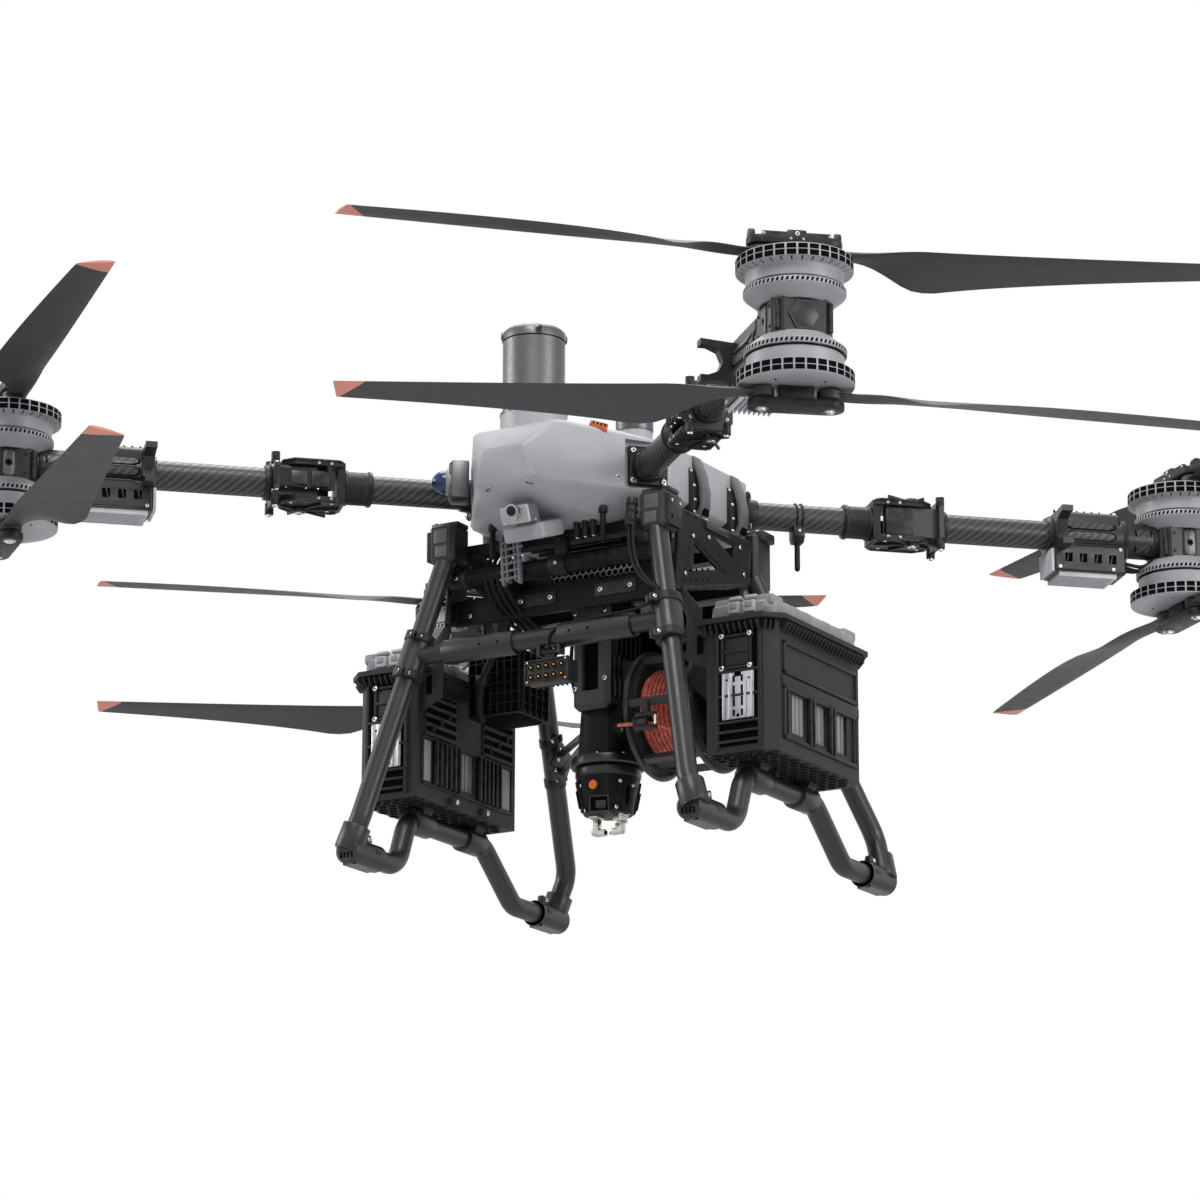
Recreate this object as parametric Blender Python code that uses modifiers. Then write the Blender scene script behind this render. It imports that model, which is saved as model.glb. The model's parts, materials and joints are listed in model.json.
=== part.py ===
"""A folding heavy-lift delivery drone: four arms with coaxial rotor pairs, a cargo winch and two battery boxes.

Metres, +Z up. The origin lies on the ground under the middle of the body, the front is -Y and the left is +X.
"""

import math

import bmesh
import bpy
from mathutils import Matrix, Vector

# Clearances
FIT = 0.0004
RUN = 0.0008

# Faces that meet within this angle count as one flat face
FLAT = math.radians(0.02)

# Arms: where the motors stand, and the stations along each arm measured from the middle of the body
MOTOR_X = 0.840
MOTOR_Y = 0.800
ARM_Z = 0.727
SOCKET_AT = 0.262
SOCKET_SIZE = 0.078
SOCKET_THICK = 0.010
ROOT_TUBE_R = 0.0275
NECK_AT = 0.465
NECK_R = 0.0325
FORK_AT = 0.520
FORK_WALL = 0.015
FORK_END = 0.640
FORK_HALF = 0.040
FORK_GAP = 0.030
FORK_PLATE = 0.010
PIN_AT = 0.600
PIN_SIDE = 0.022
PIN_R = 0.006
TONGUE_AT = 0.575
TONGUE_HALF = 0.030
JOINT_FLANGE_AT = 0.650
JOINT_FLANGE_THICK = 0.010
JOINT_FLANGE_HALF = 0.045
JOINT_FLANGE_CORNER = 0.014
ARM_TUBE_R = 0.029
ESC_AT = 0.885
ESC_END = 1.035
ESC_SLEEVE_R = 0.036
ESC_WIDE = 0.080
ESC_TOP = 0.022
ESC_FOOT = 0.082
ESC_LID_WIDE = 0.056
ESC_LID_TOP = 0.046
ESC_EDGE = 0.006
ESC_SLOTS = 4
ESC_SLOT_DEEP = 0.005
ESC_SLOT_TALL = 0.018
SOCKET_EDGE = 0.004
FORK_CORNER = 0.022
BOSS_R = 0.014
BOSS_TALL = 0.005
CLIP_AT = 0.898
CLIP_WIDE = 0.022
CLIP_OUT = 0.077
CLIP_R = 0.027
CLIP_TIP = 0.014
CLIP_JAW = 0.012

# Latch lever that holds an arm straight
LATCH_LONG = 0.105
LATCH_THICK = 0.009
LATCH_HALF = 0.018
LATCH_BARREL_R = 0.006
LATCH_CLEAR = 0.0065
LATCH_HINGE_GAP = 0.0015
LUG_THICK = 0.008

# Motors: heights are measured from the middle of the pair, and the lower motor is the upper one turned over
PAIR_Z = 0.7163
BLOCK_HALF = 0.055
BLOCK_CORNER = 0.018
BOWL_FOOT = 0.029
BOWL_FOOT_R = 0.060
BOWL_RIM = 0.049
BOWL_R = 0.088
BOWL_TOP = 0.0605
BELL_R = 0.084
BELL_TOP = 0.090
FLANGE_R = 0.101
FLANGE_TOP = 0.1143
AIR_GAP = 0.0012
SHAFT_R = 0.009
SHAFT_DEEP = 0.022
BADGE_R = 0.030
BADGE_THICK = 0.003

# Propellers
PROP_R = 0.7875
BOLT_OUT = 0.0587
BOLT_R = 0.0055
EYE_R = 0.022
EYE_THICK = 0.020
EYE_GAP = 0.0015
BAR_THICK = 0.015
BAR_R = 0.0253
BOLT_HEAD = 0.004
BOLT_HEAD_R = 0.0085
SPACER_HALF = 0.030
SADDLE_LONG = 0.034
SADDLE_TALL = 0.022
CHEEK_THICK = 0.008
CONING = 0.025
LEADING = 0.024
NECK_START = 0.014
NECK_CHORD = 0.040
WIDEST_CHORD = 0.123
TIP_CHORD = 0.066
WIDEST_AT = 0.270
TIP_CUT = 0.012
PITCH = 0.470
PITCH_CAP = 19.0
TWIST_START = 0.040
TWIST_RUN = 0.130
ROOT_THICK = 0.015
TIP_THICK = 0.005
SPAN_STEPS = 7
SPAN_BIAS = 1.7

# Wing section: share of the chord from the leading edge, and height as a share of the thickness
WING = ((0.0, 0.0), (0.12, 0.42), (0.40, 0.66), (0.75, 0.38), (1.0, 0.0), (0.22, -0.34))

# Body shell: half widths, reaches from the middle and heights above the ground
NOSE_REACH = 0.396
NOSE_HALF = 0.045
NOSE_Z = 0.739
BROW_REACH = 0.349
BROW_HALF = 0.090
BROW_Z = 0.794
ROOF_HALF = 0.095
ROOF_REACH = 0.180
ROOF_Z = 0.822
SHOULDER_Z = 0.778
WAIST_Z = 0.676
WAIST_NOSE_HALF = 0.064
WAIST_NOSE_REACH = 0.376
SIDE_HALF = 0.222
SIDE_REACH = 0.150
TAIL_REACH = 0.330
TAIL_HALF = 0.070
FLOOR_Z = 0.634
FLOOR_HALF = 0.120
FLOOR_FRONT = 0.200
FLOOR_REAR = 0.210
CHIN_REACH = 0.290
CHIN_HALF = 0.070
CHIN_Z = 0.645
SHELL_EDGE = 0.007
BOSS_WIDE = 0.094
BOSS_DEEP = 0.100
BOSS_EDGE = 0.008
TURRET_Y = 0.098
TURRET_R = 0.036
TURRET_TOP = 0.928

# Parachute canister on its round seat
CAN_Y = -0.279
CAN_R = 0.059
CAN_SEAT_R = 0.064
CAN_SEAT_Z = 0.829
CAN_TOP = 1.000
CAN_CAP_TALL = 0.023
CAN_CAP_STEP = 0.0015
CAN_CHAMFER = 0.008

# Camera and radar under the nose, on a bracket that leans forward and down
CHIN_AT = (0.0, -0.298, 0.642)
CHIN_TILT = 20.0
CAMERA_SIZE = (0.062, 0.040, 0.036)
LENS_R = 0.011
LENS_OUT = 0.007
CAMERA_DROP = 0.004
CAMERA_EDGE = 0.003
BRACKET_SIZE = (0.044, 0.012, 0.070)
BRACKET_RISE = 0.005
RADAR_SIZE = (0.088, 0.080, 0.030)
RADAR_BACK = 0.008
RADAR_DROP = 0.040
RADAR_EDGE = 0.004

# Black airframe under the body
BEAM_FRONT_Y = -0.160
BEAM_REAR_Y = 0.100
BEAM_WIDE = 0.030
BEAM_TALL = 0.022
CHEEK_X = 0.250
CHEEK_PLATE = 0.008
CHEEK_TOP_FRONT = (-0.165, 0.640)
CHEEK_TOP_REAR = (0.104, 0.640)
CHEEK_LOW_REAR = (0.094, 0.556)
CHEEK_LOW_FRONT = (-0.182, 0.482)
CHEEK_OPEN = 0.52
CROSS_Y = -0.178
CROSS_Z = 0.565
CROSS_R = 0.018
LOW_BEAM_Y = -0.150
LOW_BEAM_Z = 0.508
LOW_BEAM_TALL = 0.050
LOW_BEAM_THICK = 0.012
DECK_Z = 0.535
DECK_THICK = 0.010
DECK_HALF = 0.070
DECK_BACK = 0.090
TIE_Y = 0.075
TRAY_X = (-0.044, 0.154)
TRAY_Y = (-0.140, 0.0)
TRAY_TALL = 0.030

# Landing gear
LEG_R = 0.0195
LEG_COLLAR_R = 0.027
LEG_COLLAR_HALF = 0.035
FRONT_LEG_TOP = (0.2274, -0.2108, 0.620)
FRONT_LEG_KNEE = (0.3514, -0.3160, 0.092)
REAR_LEG_TOP = (0.2434, 0.1224, 0.580)
REAR_LEG_KNEE = (0.3474, 0.4250, 0.115)
KNEE_BEND = 0.060
FOOT_SINK = 0.022
FRONT_FOOT_Y = -0.322
REAR_FOOT_Y = 0.412
FOOT_OVERHANG = 0.014
CLAMP_WIDE = 0.056
CLAMP_DEEP = 0.062
CLAMP_TALL = 0.078
REAR_CLAMP_TALL = 0.113
CLAMP_X = 0.232
CLAMP_TOP = 0.668
CLAMP_EDGE = 0.008
SKID_X = 0.3667
SKID_Z = 0.026
SKID_R = 0.0195
SKID_HIGH = 0.125
SKID_RISE_Y = (-0.170, -0.132)
SKID_DROP_Y = (0.135, 0.250)
SKID_BEND = 0.045
SKID_SLEEVE_R = 0.0255
SKID_SLEEVE_LONG = 0.095
SOCKET_R = 0.0265
SOCKET_TALL = 0.050
FOOT_PAD = (0.030, 0.080, 0.012)
CROSSBAR_Z = 0.404
CROSSBAR_R = 0.018

# Battery boxes
BOX_X = 0.3155
BOX_WIDE = 0.141
BOX_FRONT = -0.180
BOX_LONG = 0.354
BOX_FLOOR = 0.155
BOX_TOP = 0.410
BOX_WALL = 0.005
BOX_CORNER = 0.022
RIM_OUT = 0.018
RIM_THICK = 0.010
WINDOWS = 3
WINDOW_LONG = 0.055
WINDOW_TALL = 0.075
WINDOW_Z = 0.235
WINDOW_STEP = 0.080
SADDLE_WIDE = 0.050
SADDLE_IN = 0.040
BATTERY_SLACK = 0.003
LID_TALL = 0.034
LID_IN = 0.006
LID_EDGE = 0.008
HANDLE_R = 0.007
HANDLE_LONG = 0.120

# Winch
COLUMN_X = 0.041
COLUMN_FRONT = -0.070
COLUMN_BACK = 0.050
COLUMN_FOOT = 0.310
COLUMN_EDGE = 0.010
SLOT_WIDE = 0.036
SLOT_DEEP = 0.012
BELL_RING_R = 0.070
BELL_RING_Z = (0.206, 0.222)
BELL_NECK_R = 0.058
FLARE_TOP_R = 0.052
HOOK_BORE_R = 0.040
HOOK_BORE_TOP = 0.300
ROPE_BORE_R = 0.014
ROPE_BORE_TOP = 0.510
FIN_COUNT = 6
FIN_OUT = 0.010
FIN_THICK = 0.004
FIN_LOW = 0.420
HOOK_TOP_R = 0.061
HOOK_TOP = 0.2045
HOOK_WAIST_R = 0.048
HOOK_BAND = 0.020
HOOK_FOOT = 0.118
HOOK_STEM_R = 0.036
HOOK_STEM_TOP = 0.290
HOOK_REACH = 0.026
PRONG_R = 0.0065
PRONG_FOOT = 0.0845
PRONG_BEND = 0.012
GATE_GAP = 0.010
GATE_Z = 0.108
GATE_HALF = 0.008
GATE_BARREL_R = 0.0075
BUTTON_Z = 0.165
BUTTON_SEAT = 0.055
BUTTON_R = 0.010
BUTTON_OUT = 0.004
BUTTON_LONG = 0.010
BUTTON_TRAVEL = 0.003
LIGHT_X = 0.025
LIGHT_Z = 0.336
LIGHT_PIVOT_Z = 0.374
LIGHT_SIZE = (0.092, 0.026, 0.046)
LIGHT_EDGE = 0.004
LIGHT_BARREL_R = 0.007
EAR_OUT = 0.022
EAR_THICK = 0.006
EAR_DEEP = 0.020
EAR_DROP = 0.0055

# Drum, rope and cage
DRUM_X = (0.112, 0.232)
DRUM_Z = 0.2955
DRUM_CORE_R = 0.079
DRUM_FLANGE_R = 0.103
DRUM_FLANGE = 0.005
DRUM_SHAFT_R = 0.011
ROPE_R = 0.0038
ROPE_PITCH = 0.0094
ROPE_LOOPS = 9
ROPE_STEPS = 24
ROPE_OFF = 70.0
ROPE_SEAT = 0.0012
LEAD_STEPS = 2
LEAD_STRAIGHT = 0.044
CAGE_R = 0.122
CAGE_BAND = 0.012
CAGE_SIDE = 0.008
CAGE_RIBS = 6
CAGE_RIB_WIDE = 0.014
CAGE_HUB_R = 0.024
CAGE_SPOKES = 3
BRACKET_WIDE = 0.040
BRACKET_TALL = 0.030
FAIRLEAD_AT = (0.150, -0.128, 0.2505)
FAIRLEAD_R = 0.0125
FAIRLEAD_BORE = 0.0088
FAIRLEAD_LONG = 0.020
ROPE_LEAD = ((0.112, -0.128, 0.2520), (0.090, -0.118, 0.2550), (0.066, -0.080, 0.2620),
             (0.0475, -0.043, 0.2680))

# Rest angles of the blades, in degrees from +X, upper then lower rotor
REST = {
    "front_right": (-40.7, -40.0),
    "front_left": (41.5, 39.4),
    "rear_left": (142.9, 141.8),
    "rear_right": (34.6, 44.6),
}

# Sides of the round solids
ROUND_MOTOR = 16
ROUND_TUBE = 12
ROUND_EYE = 10
ROUND_SMALL = 6

# Carries an outline drawn in XY into the upright YZ plane
UPRIGHT = Matrix(((0, 0, 1, 0), (1, 0, 0, 0), (0, 1, 0, 0), (0, 0, 0, 1)))

BELL_FOOT = BOWL_TOP + AIR_GAP
EYE_Z = FLANGE_TOP + EYE_GAP + EYE_THICK / 2
BAR_AT = FLANGE_TOP + 2 * EYE_GAP + EYE_THICK
LATCH_SIDE = JOINT_FLANGE_HALF + LATCH_BARREL_R + LATCH_HINGE_GAP
ARM_LONG = math.hypot(MOTOR_X, MOTOR_Y)
ARM_ANGLE = math.degrees(math.atan2(MOTOR_Y, MOTOR_X))
CORNERS = {
    "front_right": (180.0 + ARM_ANGLE, -1),
    "front_left": (-ARM_ANGLE, 1),
    "rear_left": (ARM_ANGLE, -1),
    "rear_right": (180.0 - ARM_ANGLE, 1),
}

for old in list(bpy.data.objects):
    bpy.data.objects.remove(old)
PARTS = bpy.data.collections.new("delivery_drone")
bpy.context.scene.collection.children.link(PARTS)


def place(mesh, name="work"):
    obj = bpy.data.objects.new(name, mesh)
    PARTS.objects.link(obj)
    return obj


def settled(obj):
    """The object's evaluated mesh, welded, with the object itself removed."""
    graph = bpy.context.evaluated_depsgraph_get()
    mesh = bpy.data.meshes.new_from_object(obj.evaluated_get(graph))
    data = bmesh.new()
    data.from_mesh(mesh)
    bmesh.ops.remove_doubles(data, verts=data.verts, dist=0.00001)
    bmesh.ops.dissolve_limit(data, angle_limit=FLAT, verts=data.verts, edges=data.edges)
    bmesh.ops.recalc_face_normals(data, faces=data.faces)
    data.to_mesh(mesh)
    data.free()
    bpy.data.objects.remove(obj)
    return mesh


def moved(mesh, at=(0, 0, 0), turn=None):
    """Turn a mesh, then carry it to a point."""
    if turn:
        mesh.transform(turn)
    mesh.transform(Matrix.Translation(at))
    return mesh


def about(axis, degrees):
    return Matrix.Rotation(math.radians(degrees), 4, axis)


def along(direction):
    """The turn that carries +Z onto a direction."""
    return Vector(direction).to_track_quat("Z", "Y").to_matrix().to_4x4()


def block(size, at=(0, 0, 0), bevel=0.0, turn=None):
    mesh = bpy.data.meshes.new("block")
    data = bmesh.new()
    bmesh.ops.create_cube(data, size=1.0)
    bmesh.ops.scale(data, vec=size, verts=data.verts)
    data.to_mesh(mesh)
    data.free()
    if bevel:
        obj = place(mesh)
        edge = obj.modifiers.new("edge", "BEVEL")
        edge.width = bevel
        edge.segments = 1
        mesh = settled(obj)
    return moved(mesh, at, turn)


def rod(radius, start, end, sides=ROUND_TUBE, end_radius=None):
    """A straight round bar or cone between two points."""
    start = Vector(start)
    run = Vector(end) - start
    mesh = bpy.data.meshes.new("rod")
    data = bmesh.new()
    top = radius if end_radius is None else end_radius
    bmesh.ops.create_cone(data, cap_ends=True, segments=sides, radius1=radius, radius2=top, depth=run.length)
    data.to_mesh(mesh)
    data.free()
    return moved(mesh, start + run / 2, along(run))


def turned(profile, sides, at=(0, 0, 0), turn=None):
    """A solid of revolution about Z from (radius, height) points, listed from the top down."""
    mesh = bpy.data.meshes.new("profile")
    edges = [(i, i + 1) for i in range(len(profile) - 1)]
    mesh.from_pydata([(r, 0.0, z) for r, z in profile], edges, [])
    obj = place(mesh)
    screw = obj.modifiers.new("turn", "SCREW")
    screw.steps = sides
    screw.render_steps = sides
    screw.use_merge_vertices = True
    screw.merge_threshold = 0.00005
    return moved(settled(obj), at, turn)


def swept(points, radius, resolution=2):
    """A round tube along a polyline, with filled ends."""
    curve = bpy.data.curves.new("tube", "CURVE")
    curve.dimensions = "3D"
    curve.bevel_depth = radius
    curve.bevel_resolution = resolution
    curve.use_fill_caps = True
    spline = curve.splines.new("POLY")
    spline.points.add(len(points) - 1)
    for knot, point in zip(spline.points, points):
        knot.co = (*point, 1.0)
    return settled(place(curve))


def plate(outlines, thick, at=(0, 0, 0), turn=None):
    """A flat plate in XY, centred on its thickness; outlines after the first are holes."""
    curve = bpy.data.curves.new("plate", "CURVE")
    curve.dimensions = "2D"
    curve.fill_mode = "BOTH"
    curve.extrude = thick / 2
    for outline in outlines:
        spline = curve.splines.new("POLY")
        spline.points.add(len(outline) - 1)
        spline.use_cyclic_u = True
        for knot, (x, y) in zip(spline.points, outline):
            knot.co = (x, y, 0.0, 1.0)
    return moved(settled(place(curve)), at, turn)


def combined(mesh, others, operation):
    for other in others:
        obj = place(mesh)
        tool = place(other)
        step = obj.modifiers.new(operation.lower(), "BOOLEAN")
        step.operation = operation
        step.solver = "EXACT"
        step.object = tool
        mesh = settled(obj)
        bpy.data.objects.remove(tool)
    return mesh


def united(mesh, *others):
    return combined(mesh, others, "UNION")


def cut(mesh, *cutters):
    return combined(mesh, cutters, "DIFFERENCE")


def softened(mesh, width, angle=20.0):
    """Bevel the edges that are sharper than an angle."""
    obj = place(mesh)
    edge = obj.modifiers.new("edge", "BEVEL")
    edge.width = width
    edge.segments = 1
    edge.limit_method = "ANGLE"
    edge.angle_limit = math.radians(angle)
    return settled(obj)


def mirrored(mesh, axis):
    """A mirror image of a mesh through the plane across one axis."""
    copy = mesh.copy()
    scale = [1.0, 1.0, 1.0]
    scale["XYZ".index(axis)] = -1.0
    copy.transform(Matrix.Diagonal((*scale, 1.0)))
    copy.flip_normals()
    return copy


def arc(centre, radius, start, end, steps):
    """Points on a circle arc, angles in degrees."""
    angles = [math.radians(start + (end - start) * i / steps) for i in range(steps + 1)]
    return [(centre[0] + radius * math.cos(a), centre[1] + radius * math.sin(a)) for a in angles]


def rounded(points, radius, steps=3):
    """A polyline whose inner corners are replaced by arcs of a given radius."""
    points = [Vector(p) for p in points]
    path = [points[0]]
    for before, corner, after in zip(points, points[1:], points[2:]):
        back = (before - corner).normalized()
        ahead = (after - corner).normalized()
        half = back.angle(ahead) / 2
        reach = radius / math.tan(half)
        centre = corner + (back + ahead).normalized() * (radius / math.sin(half))
        first = corner + back * reach - centre
        last = corner + ahead * reach - centre
        path += [centre + first.slerp(last, i / steps).normalized() * radius for i in range(steps + 1)]
    return path + [points[-1]]


def paint(name, colour, roughness, metallic=0.0):
    material = bpy.data.materials.new(name)
    material.use_nodes = True
    shader = material.node_tree.nodes["Principled BSDF"]
    shader.inputs["Base Color"].default_value = (*colour, 1.0)
    shader.inputs["Roughness"].default_value = roughness
    shader.inputs["Metallic"].default_value = metallic
    return material


def node(name, mesh, material, at=(0, 0, 0), turn=None, parent=None):
    """Place one finished sub-part; its origin lies on its joint axis where it moves."""
    mesh.shade_smooth()
    mesh.set_sharp_from_angle(angle=math.radians(35))
    obj = bpy.data.objects.new(name, mesh)
    PARTS.objects.link(obj)
    obj.matrix_world = Matrix.Translation(at) @ (turn or Matrix.Identity(4))
    if not mesh.materials:
        mesh.materials.append(material)
    if parent:
        obj.parent = parent
        obj.matrix_parent_inverse = parent.matrix_world.inverted()
    return obj


def smooth(t):
    """An S-shaped step from 0 to 1."""
    t = min(max(t, 0.0), 1.0)
    return t * t * (3.0 - 2.0 * t)


def loft(sections):
    """Skin closed sections that have the same count of points, and cap both ends."""
    mesh = bpy.data.meshes.new("loft")
    data = bmesh.new()
    rings = [[data.verts.new(point) for point in ring] for ring in sections]
    for inner, outer in zip(rings, rings[1:]):
        for i in range(len(inner)):
            j = (i + 1) % len(inner)
            data.faces.new((inner[i], inner[j], outer[j], outer[i]))
    data.faces.new(rings[0])
    data.faces.new(rings[-1])
    bmesh.ops.recalc_face_normals(data, faces=data.faces)
    data.to_mesh(mesh)
    data.free()
    return mesh


def chord_at(radius):
    """Chord of the blade: a neck that widens to its broadest, then a straight taper to the tip."""
    neck = BOLT_OUT + EYE_R
    if radius < WIDEST_AT:
        return NECK_CHORD + (WIDEST_CHORD - NECK_CHORD) * smooth((radius - neck) / (WIDEST_AT - neck))
    return WIDEST_CHORD + (TIP_CHORD - WIDEST_CHORD) * (radius - WIDEST_AT) / (PROP_R - WIDEST_AT)


def pitch_at(radius):
    """Twist of the blade in radians: a screw of steady advance, flat where it passes over the motor."""
    screw = math.atan(PITCH / (2 * math.pi * radius))
    start = BOLT_OUT + TWIST_START
    return min(screw, math.radians(PITCH_CAP)) * smooth((radius - start) / TWIST_RUN)


def blade_section(radius, start, hand, coning):
    """One wing section at a distance from the spin axis, as points in the blade's own frame."""
    share = (radius - start) / (PROP_R - start)
    chord = chord_at(radius)
    thick = ROOT_THICK + (TIP_THICK - ROOT_THICK) * math.sqrt(share)
    lead = NECK_CHORD / 2 + (LEADING - NECK_CHORD / 2) * smooth(share / 0.2)
    pitch = pitch_at(radius)
    cut_back = TIP_CUT if share == 1.0 else 0.0
    ring = []
    for along_chord, height in WING:
        y = lead - along_chord * chord
        z = height * thick
        ring.append((
            radius - BOLT_OUT - cut_back * along_chord,
            hand * (y * math.cos(pitch) - z * math.sin(pitch)),
            y * math.sin(pitch) + z * math.cos(pitch) + coning * CONING * share,
        ))
    return ring


def blade_mesh(hand, coning):
    """A folding propeller blade along +X, with its bolt hole on the origin."""
    start = BOLT_OUT + NECK_START
    span = PROP_R - start
    radii = [start + span * (i / SPAN_STEPS) ** SPAN_BIAS for i in range(SPAN_STEPS + 1)]
    wing = loft([blade_section(radius, start, hand, coning) for radius in radii])
    hole = BOLT_R + RUN
    eye = turned(
        [(EYE_R, EYE_THICK / 2), (EYE_R, -EYE_THICK / 2), (hole, -EYE_THICK / 2), (hole, EYE_THICK / 2),
         (EYE_R, EYE_THICK / 2)], ROUND_EYE)
    return united(wing, eye)


def rotor_mesh(upper):
    """Motor bell with its flange, hub bar and blade bolts, seen as the upper rotor."""
    bell = turned(
        [(0, FLANGE_TOP), (FLANGE_R, FLANGE_TOP), (FLANGE_R, BELL_TOP), (BELL_R, BELL_TOP),
         (BELL_R, BELL_FOOT), (0, BELL_FOOT)], ROUND_MOTOR)
    ends = arc((BOLT_OUT, 0), BAR_R, -90, 90, 4) + arc((-BOLT_OUT, 0), BAR_R, 90, 270, 4)
    bar = plate([ends], BAR_THICK, (0, 0, BAR_AT + BAR_THICK / 2))
    spacer = block((2 * SPACER_HALF, SPACER_HALF, BAR_AT - FLANGE_TOP + BAR_THICK),
                   (0, 0, (BAR_AT + FLANGE_TOP) / 2))
    pieces = [bar, spacer, rod(SHAFT_R, (0, 0, BELL_TOP), (0, 0, BELL_FOOT - SHAFT_DEEP), ROUND_SMALL)]
    head_top = BAR_AT + BAR_THICK + BOLT_HEAD
    for x in (-BOLT_OUT, BOLT_OUT):
        pieces.append(rod(BOLT_R, (x, 0, BELL_TOP), (x, 0, BAR_AT + BOLT_HEAD), ROUND_SMALL))
        pieces.append(rod(BOLT_HEAD_R, (x, 0, BAR_AT + BOLT_HEAD), (x, 0, head_top), 6))
    if upper:
        saddle_z = BAR_AT + BAR_THICK
        pieces.append(block((SADDLE_LONG, 2 * BAR_R - RUN, SADDLE_TALL), (0, 0, saddle_z)))
        for x in (-BOLT_OUT, BOLT_OUT):
            cheek_x = x + math.copysign(BAR_R - CHEEK_THICK, x)
            pieces.append(block((CHEEK_THICK, BAR_R, SADDLE_TALL), (cheek_x, 0, saddle_z)))
    return united(bell, *pieces)


def stator_bowl():
    """Fixed half of a motor: a bowl on the motor block."""
    return turned(
        [(0, BOWL_TOP), (BOWL_R, BOWL_TOP), (BOWL_R, BOWL_RIM), (BOWL_FOOT_R, BOWL_FOOT), (0, BOWL_FOOT)],
        ROUND_MOTOR)


def speed_controller():
    """The two boxes on the sleeve that hold the speed controllers, the lower one with slots in both sides."""
    long = ESC_END - ESC_AT
    middle = (ESC_AT + ESC_END) / 2
    low_z = -(ESC_FOOT + ESC_TOP) / 2
    lower = block((long, ESC_WIDE, ESC_FOOT - ESC_TOP), (middle, 0, low_z), bevel=ESC_EDGE)
    slot = long / (ESC_SLOTS + 1)
    slots = []
    for side in (-1, 1):
        for i in range(ESC_SLOTS):
            at = (ESC_AT + slot * (i + 1), side * ESC_WIDE / 2, low_z)
            slots.append(block((slot / 2, 2 * ESC_SLOT_DEEP, ESC_SLOT_TALL), at))
    upper = block((long - 2 * ESC_EDGE, ESC_LID_WIDE, ESC_LID_TOP), (middle, 0, ESC_LID_TOP / 2), bevel=ESC_EDGE)
    return united(cut(lower, *slots), upper)


def cornered(half, corner):
    """A square outline with cut corners."""
    edge = half - corner
    outline = []
    for x, y in ((1, 1), (-1, 1), (-1, -1), (1, -1)):
        cut_off = [(x * half, y * edge), (x * edge, y * half)]
        outline += cut_off if x * y > 0 else cut_off[::-1]
    return outline


def arm_clip(facing):
    """The open clip beside the arm that another tube snaps into when the drone is folded."""
    jaw = CLIP_R + CLIP_JAW
    tip = CLIP_OUT + CLIP_TIP
    hollow = arc((CLIP_OUT, 0), CLIP_R, 90, 270, 4)
    outline = [(0, -jaw + CLIP_JAW / 2), (0, jaw - CLIP_JAW / 2), (tip, jaw), (tip, CLIP_R)] + hollow
    outline += [(tip, -CLIP_R), (tip, -jaw)]
    return plate([[(facing * y, z) for y, z in outline]], CLIP_WIDE, (CLIP_AT, 0, 0), UPRIGHT)


def arm_mesh(clip_facing):
    """The folding outer arm of a corner whose hinge is on its left, with its origin on the hinge pin."""
    tongue_end = JOINT_FLANGE_AT + JOINT_FLANGE_THICK / 2
    tongue = block((tongue_end - TONGUE_AT, 2 * TONGUE_HALF, 2 * (FORK_GAP - RUN)),
                   ((tongue_end + TONGUE_AT) / 2, 0, 0))
    pin_hole = rod(PIN_R + RUN, (PIN_AT, PIN_SIDE, -FORK_GAP), (PIN_AT, PIN_SIDE, FORK_GAP), ROUND_EYE)
    flange_x = JOINT_FLANGE_AT + JOINT_FLANGE_THICK / 2
    flange = plate([cornered(JOINT_FLANGE_HALF, JOINT_FLANGE_CORNER)], JOINT_FLANGE_THICK, (flange_x, 0, 0),
                   about("Y", 90))
    tube = rod(ARM_TUBE_R, (flange_x, 0, 0), (ESC_AT + ESC_EDGE, 0, 0))
    sleeve = rod(ESC_SLEEVE_R, (ESC_AT - ESC_EDGE, 0, 0), (ARM_LONG - BLOCK_HALF + ESC_EDGE, 0, 0))
    pair = PAIR_Z - ARM_Z
    body = plate([cornered(BLOCK_HALF, BLOCK_CORNER)], BOWL_FOOT + BOWL_RIM, (ARM_LONG, 0, pair))
    badge = plate([arc((0, 0), BADGE_R, 30, 330, 5)], 2 * BADGE_THICK,
                  (ARM_LONG + BLOCK_HALF, 0, pair), about("Y", 90))
    upper_bowl = moved(stator_bowl(), (ARM_LONG, 0, pair))
    lower_bowl = moved(stator_bowl(), (ARM_LONG, 0, pair), about("X", 180))
    bores = [rod(SHAFT_R + 2 * RUN, (ARM_LONG, 0, pair + side * BELL_FOOT),
                 (ARM_LONG, 0, pair + side * (BELL_FOOT - SHAFT_DEEP - RUN)), ROUND_SMALL) for side in (-1, 1)]
    lugs = []
    for side in (-1, 1):
        lug_z = side * (LATCH_HALF + FIT + LUG_THICK / 2)
        lugs.append(block((JOINT_FLANGE_THICK, 2 * LATCH_BARREL_R + LATCH_HINGE_GAP, LUG_THICK),
                          (flange_x, -LATCH_SIDE + LATCH_HINGE_GAP / 2, lug_z)))
    mesh = united(tongue, flange, tube, sleeve, speed_controller(), arm_clip(clip_facing), body, badge,
                  upper_bowl, lower_bowl, *lugs)
    return moved(cut(mesh, pin_hole, *bores), (-PIN_AT, -PIN_SIDE, 0))


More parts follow.
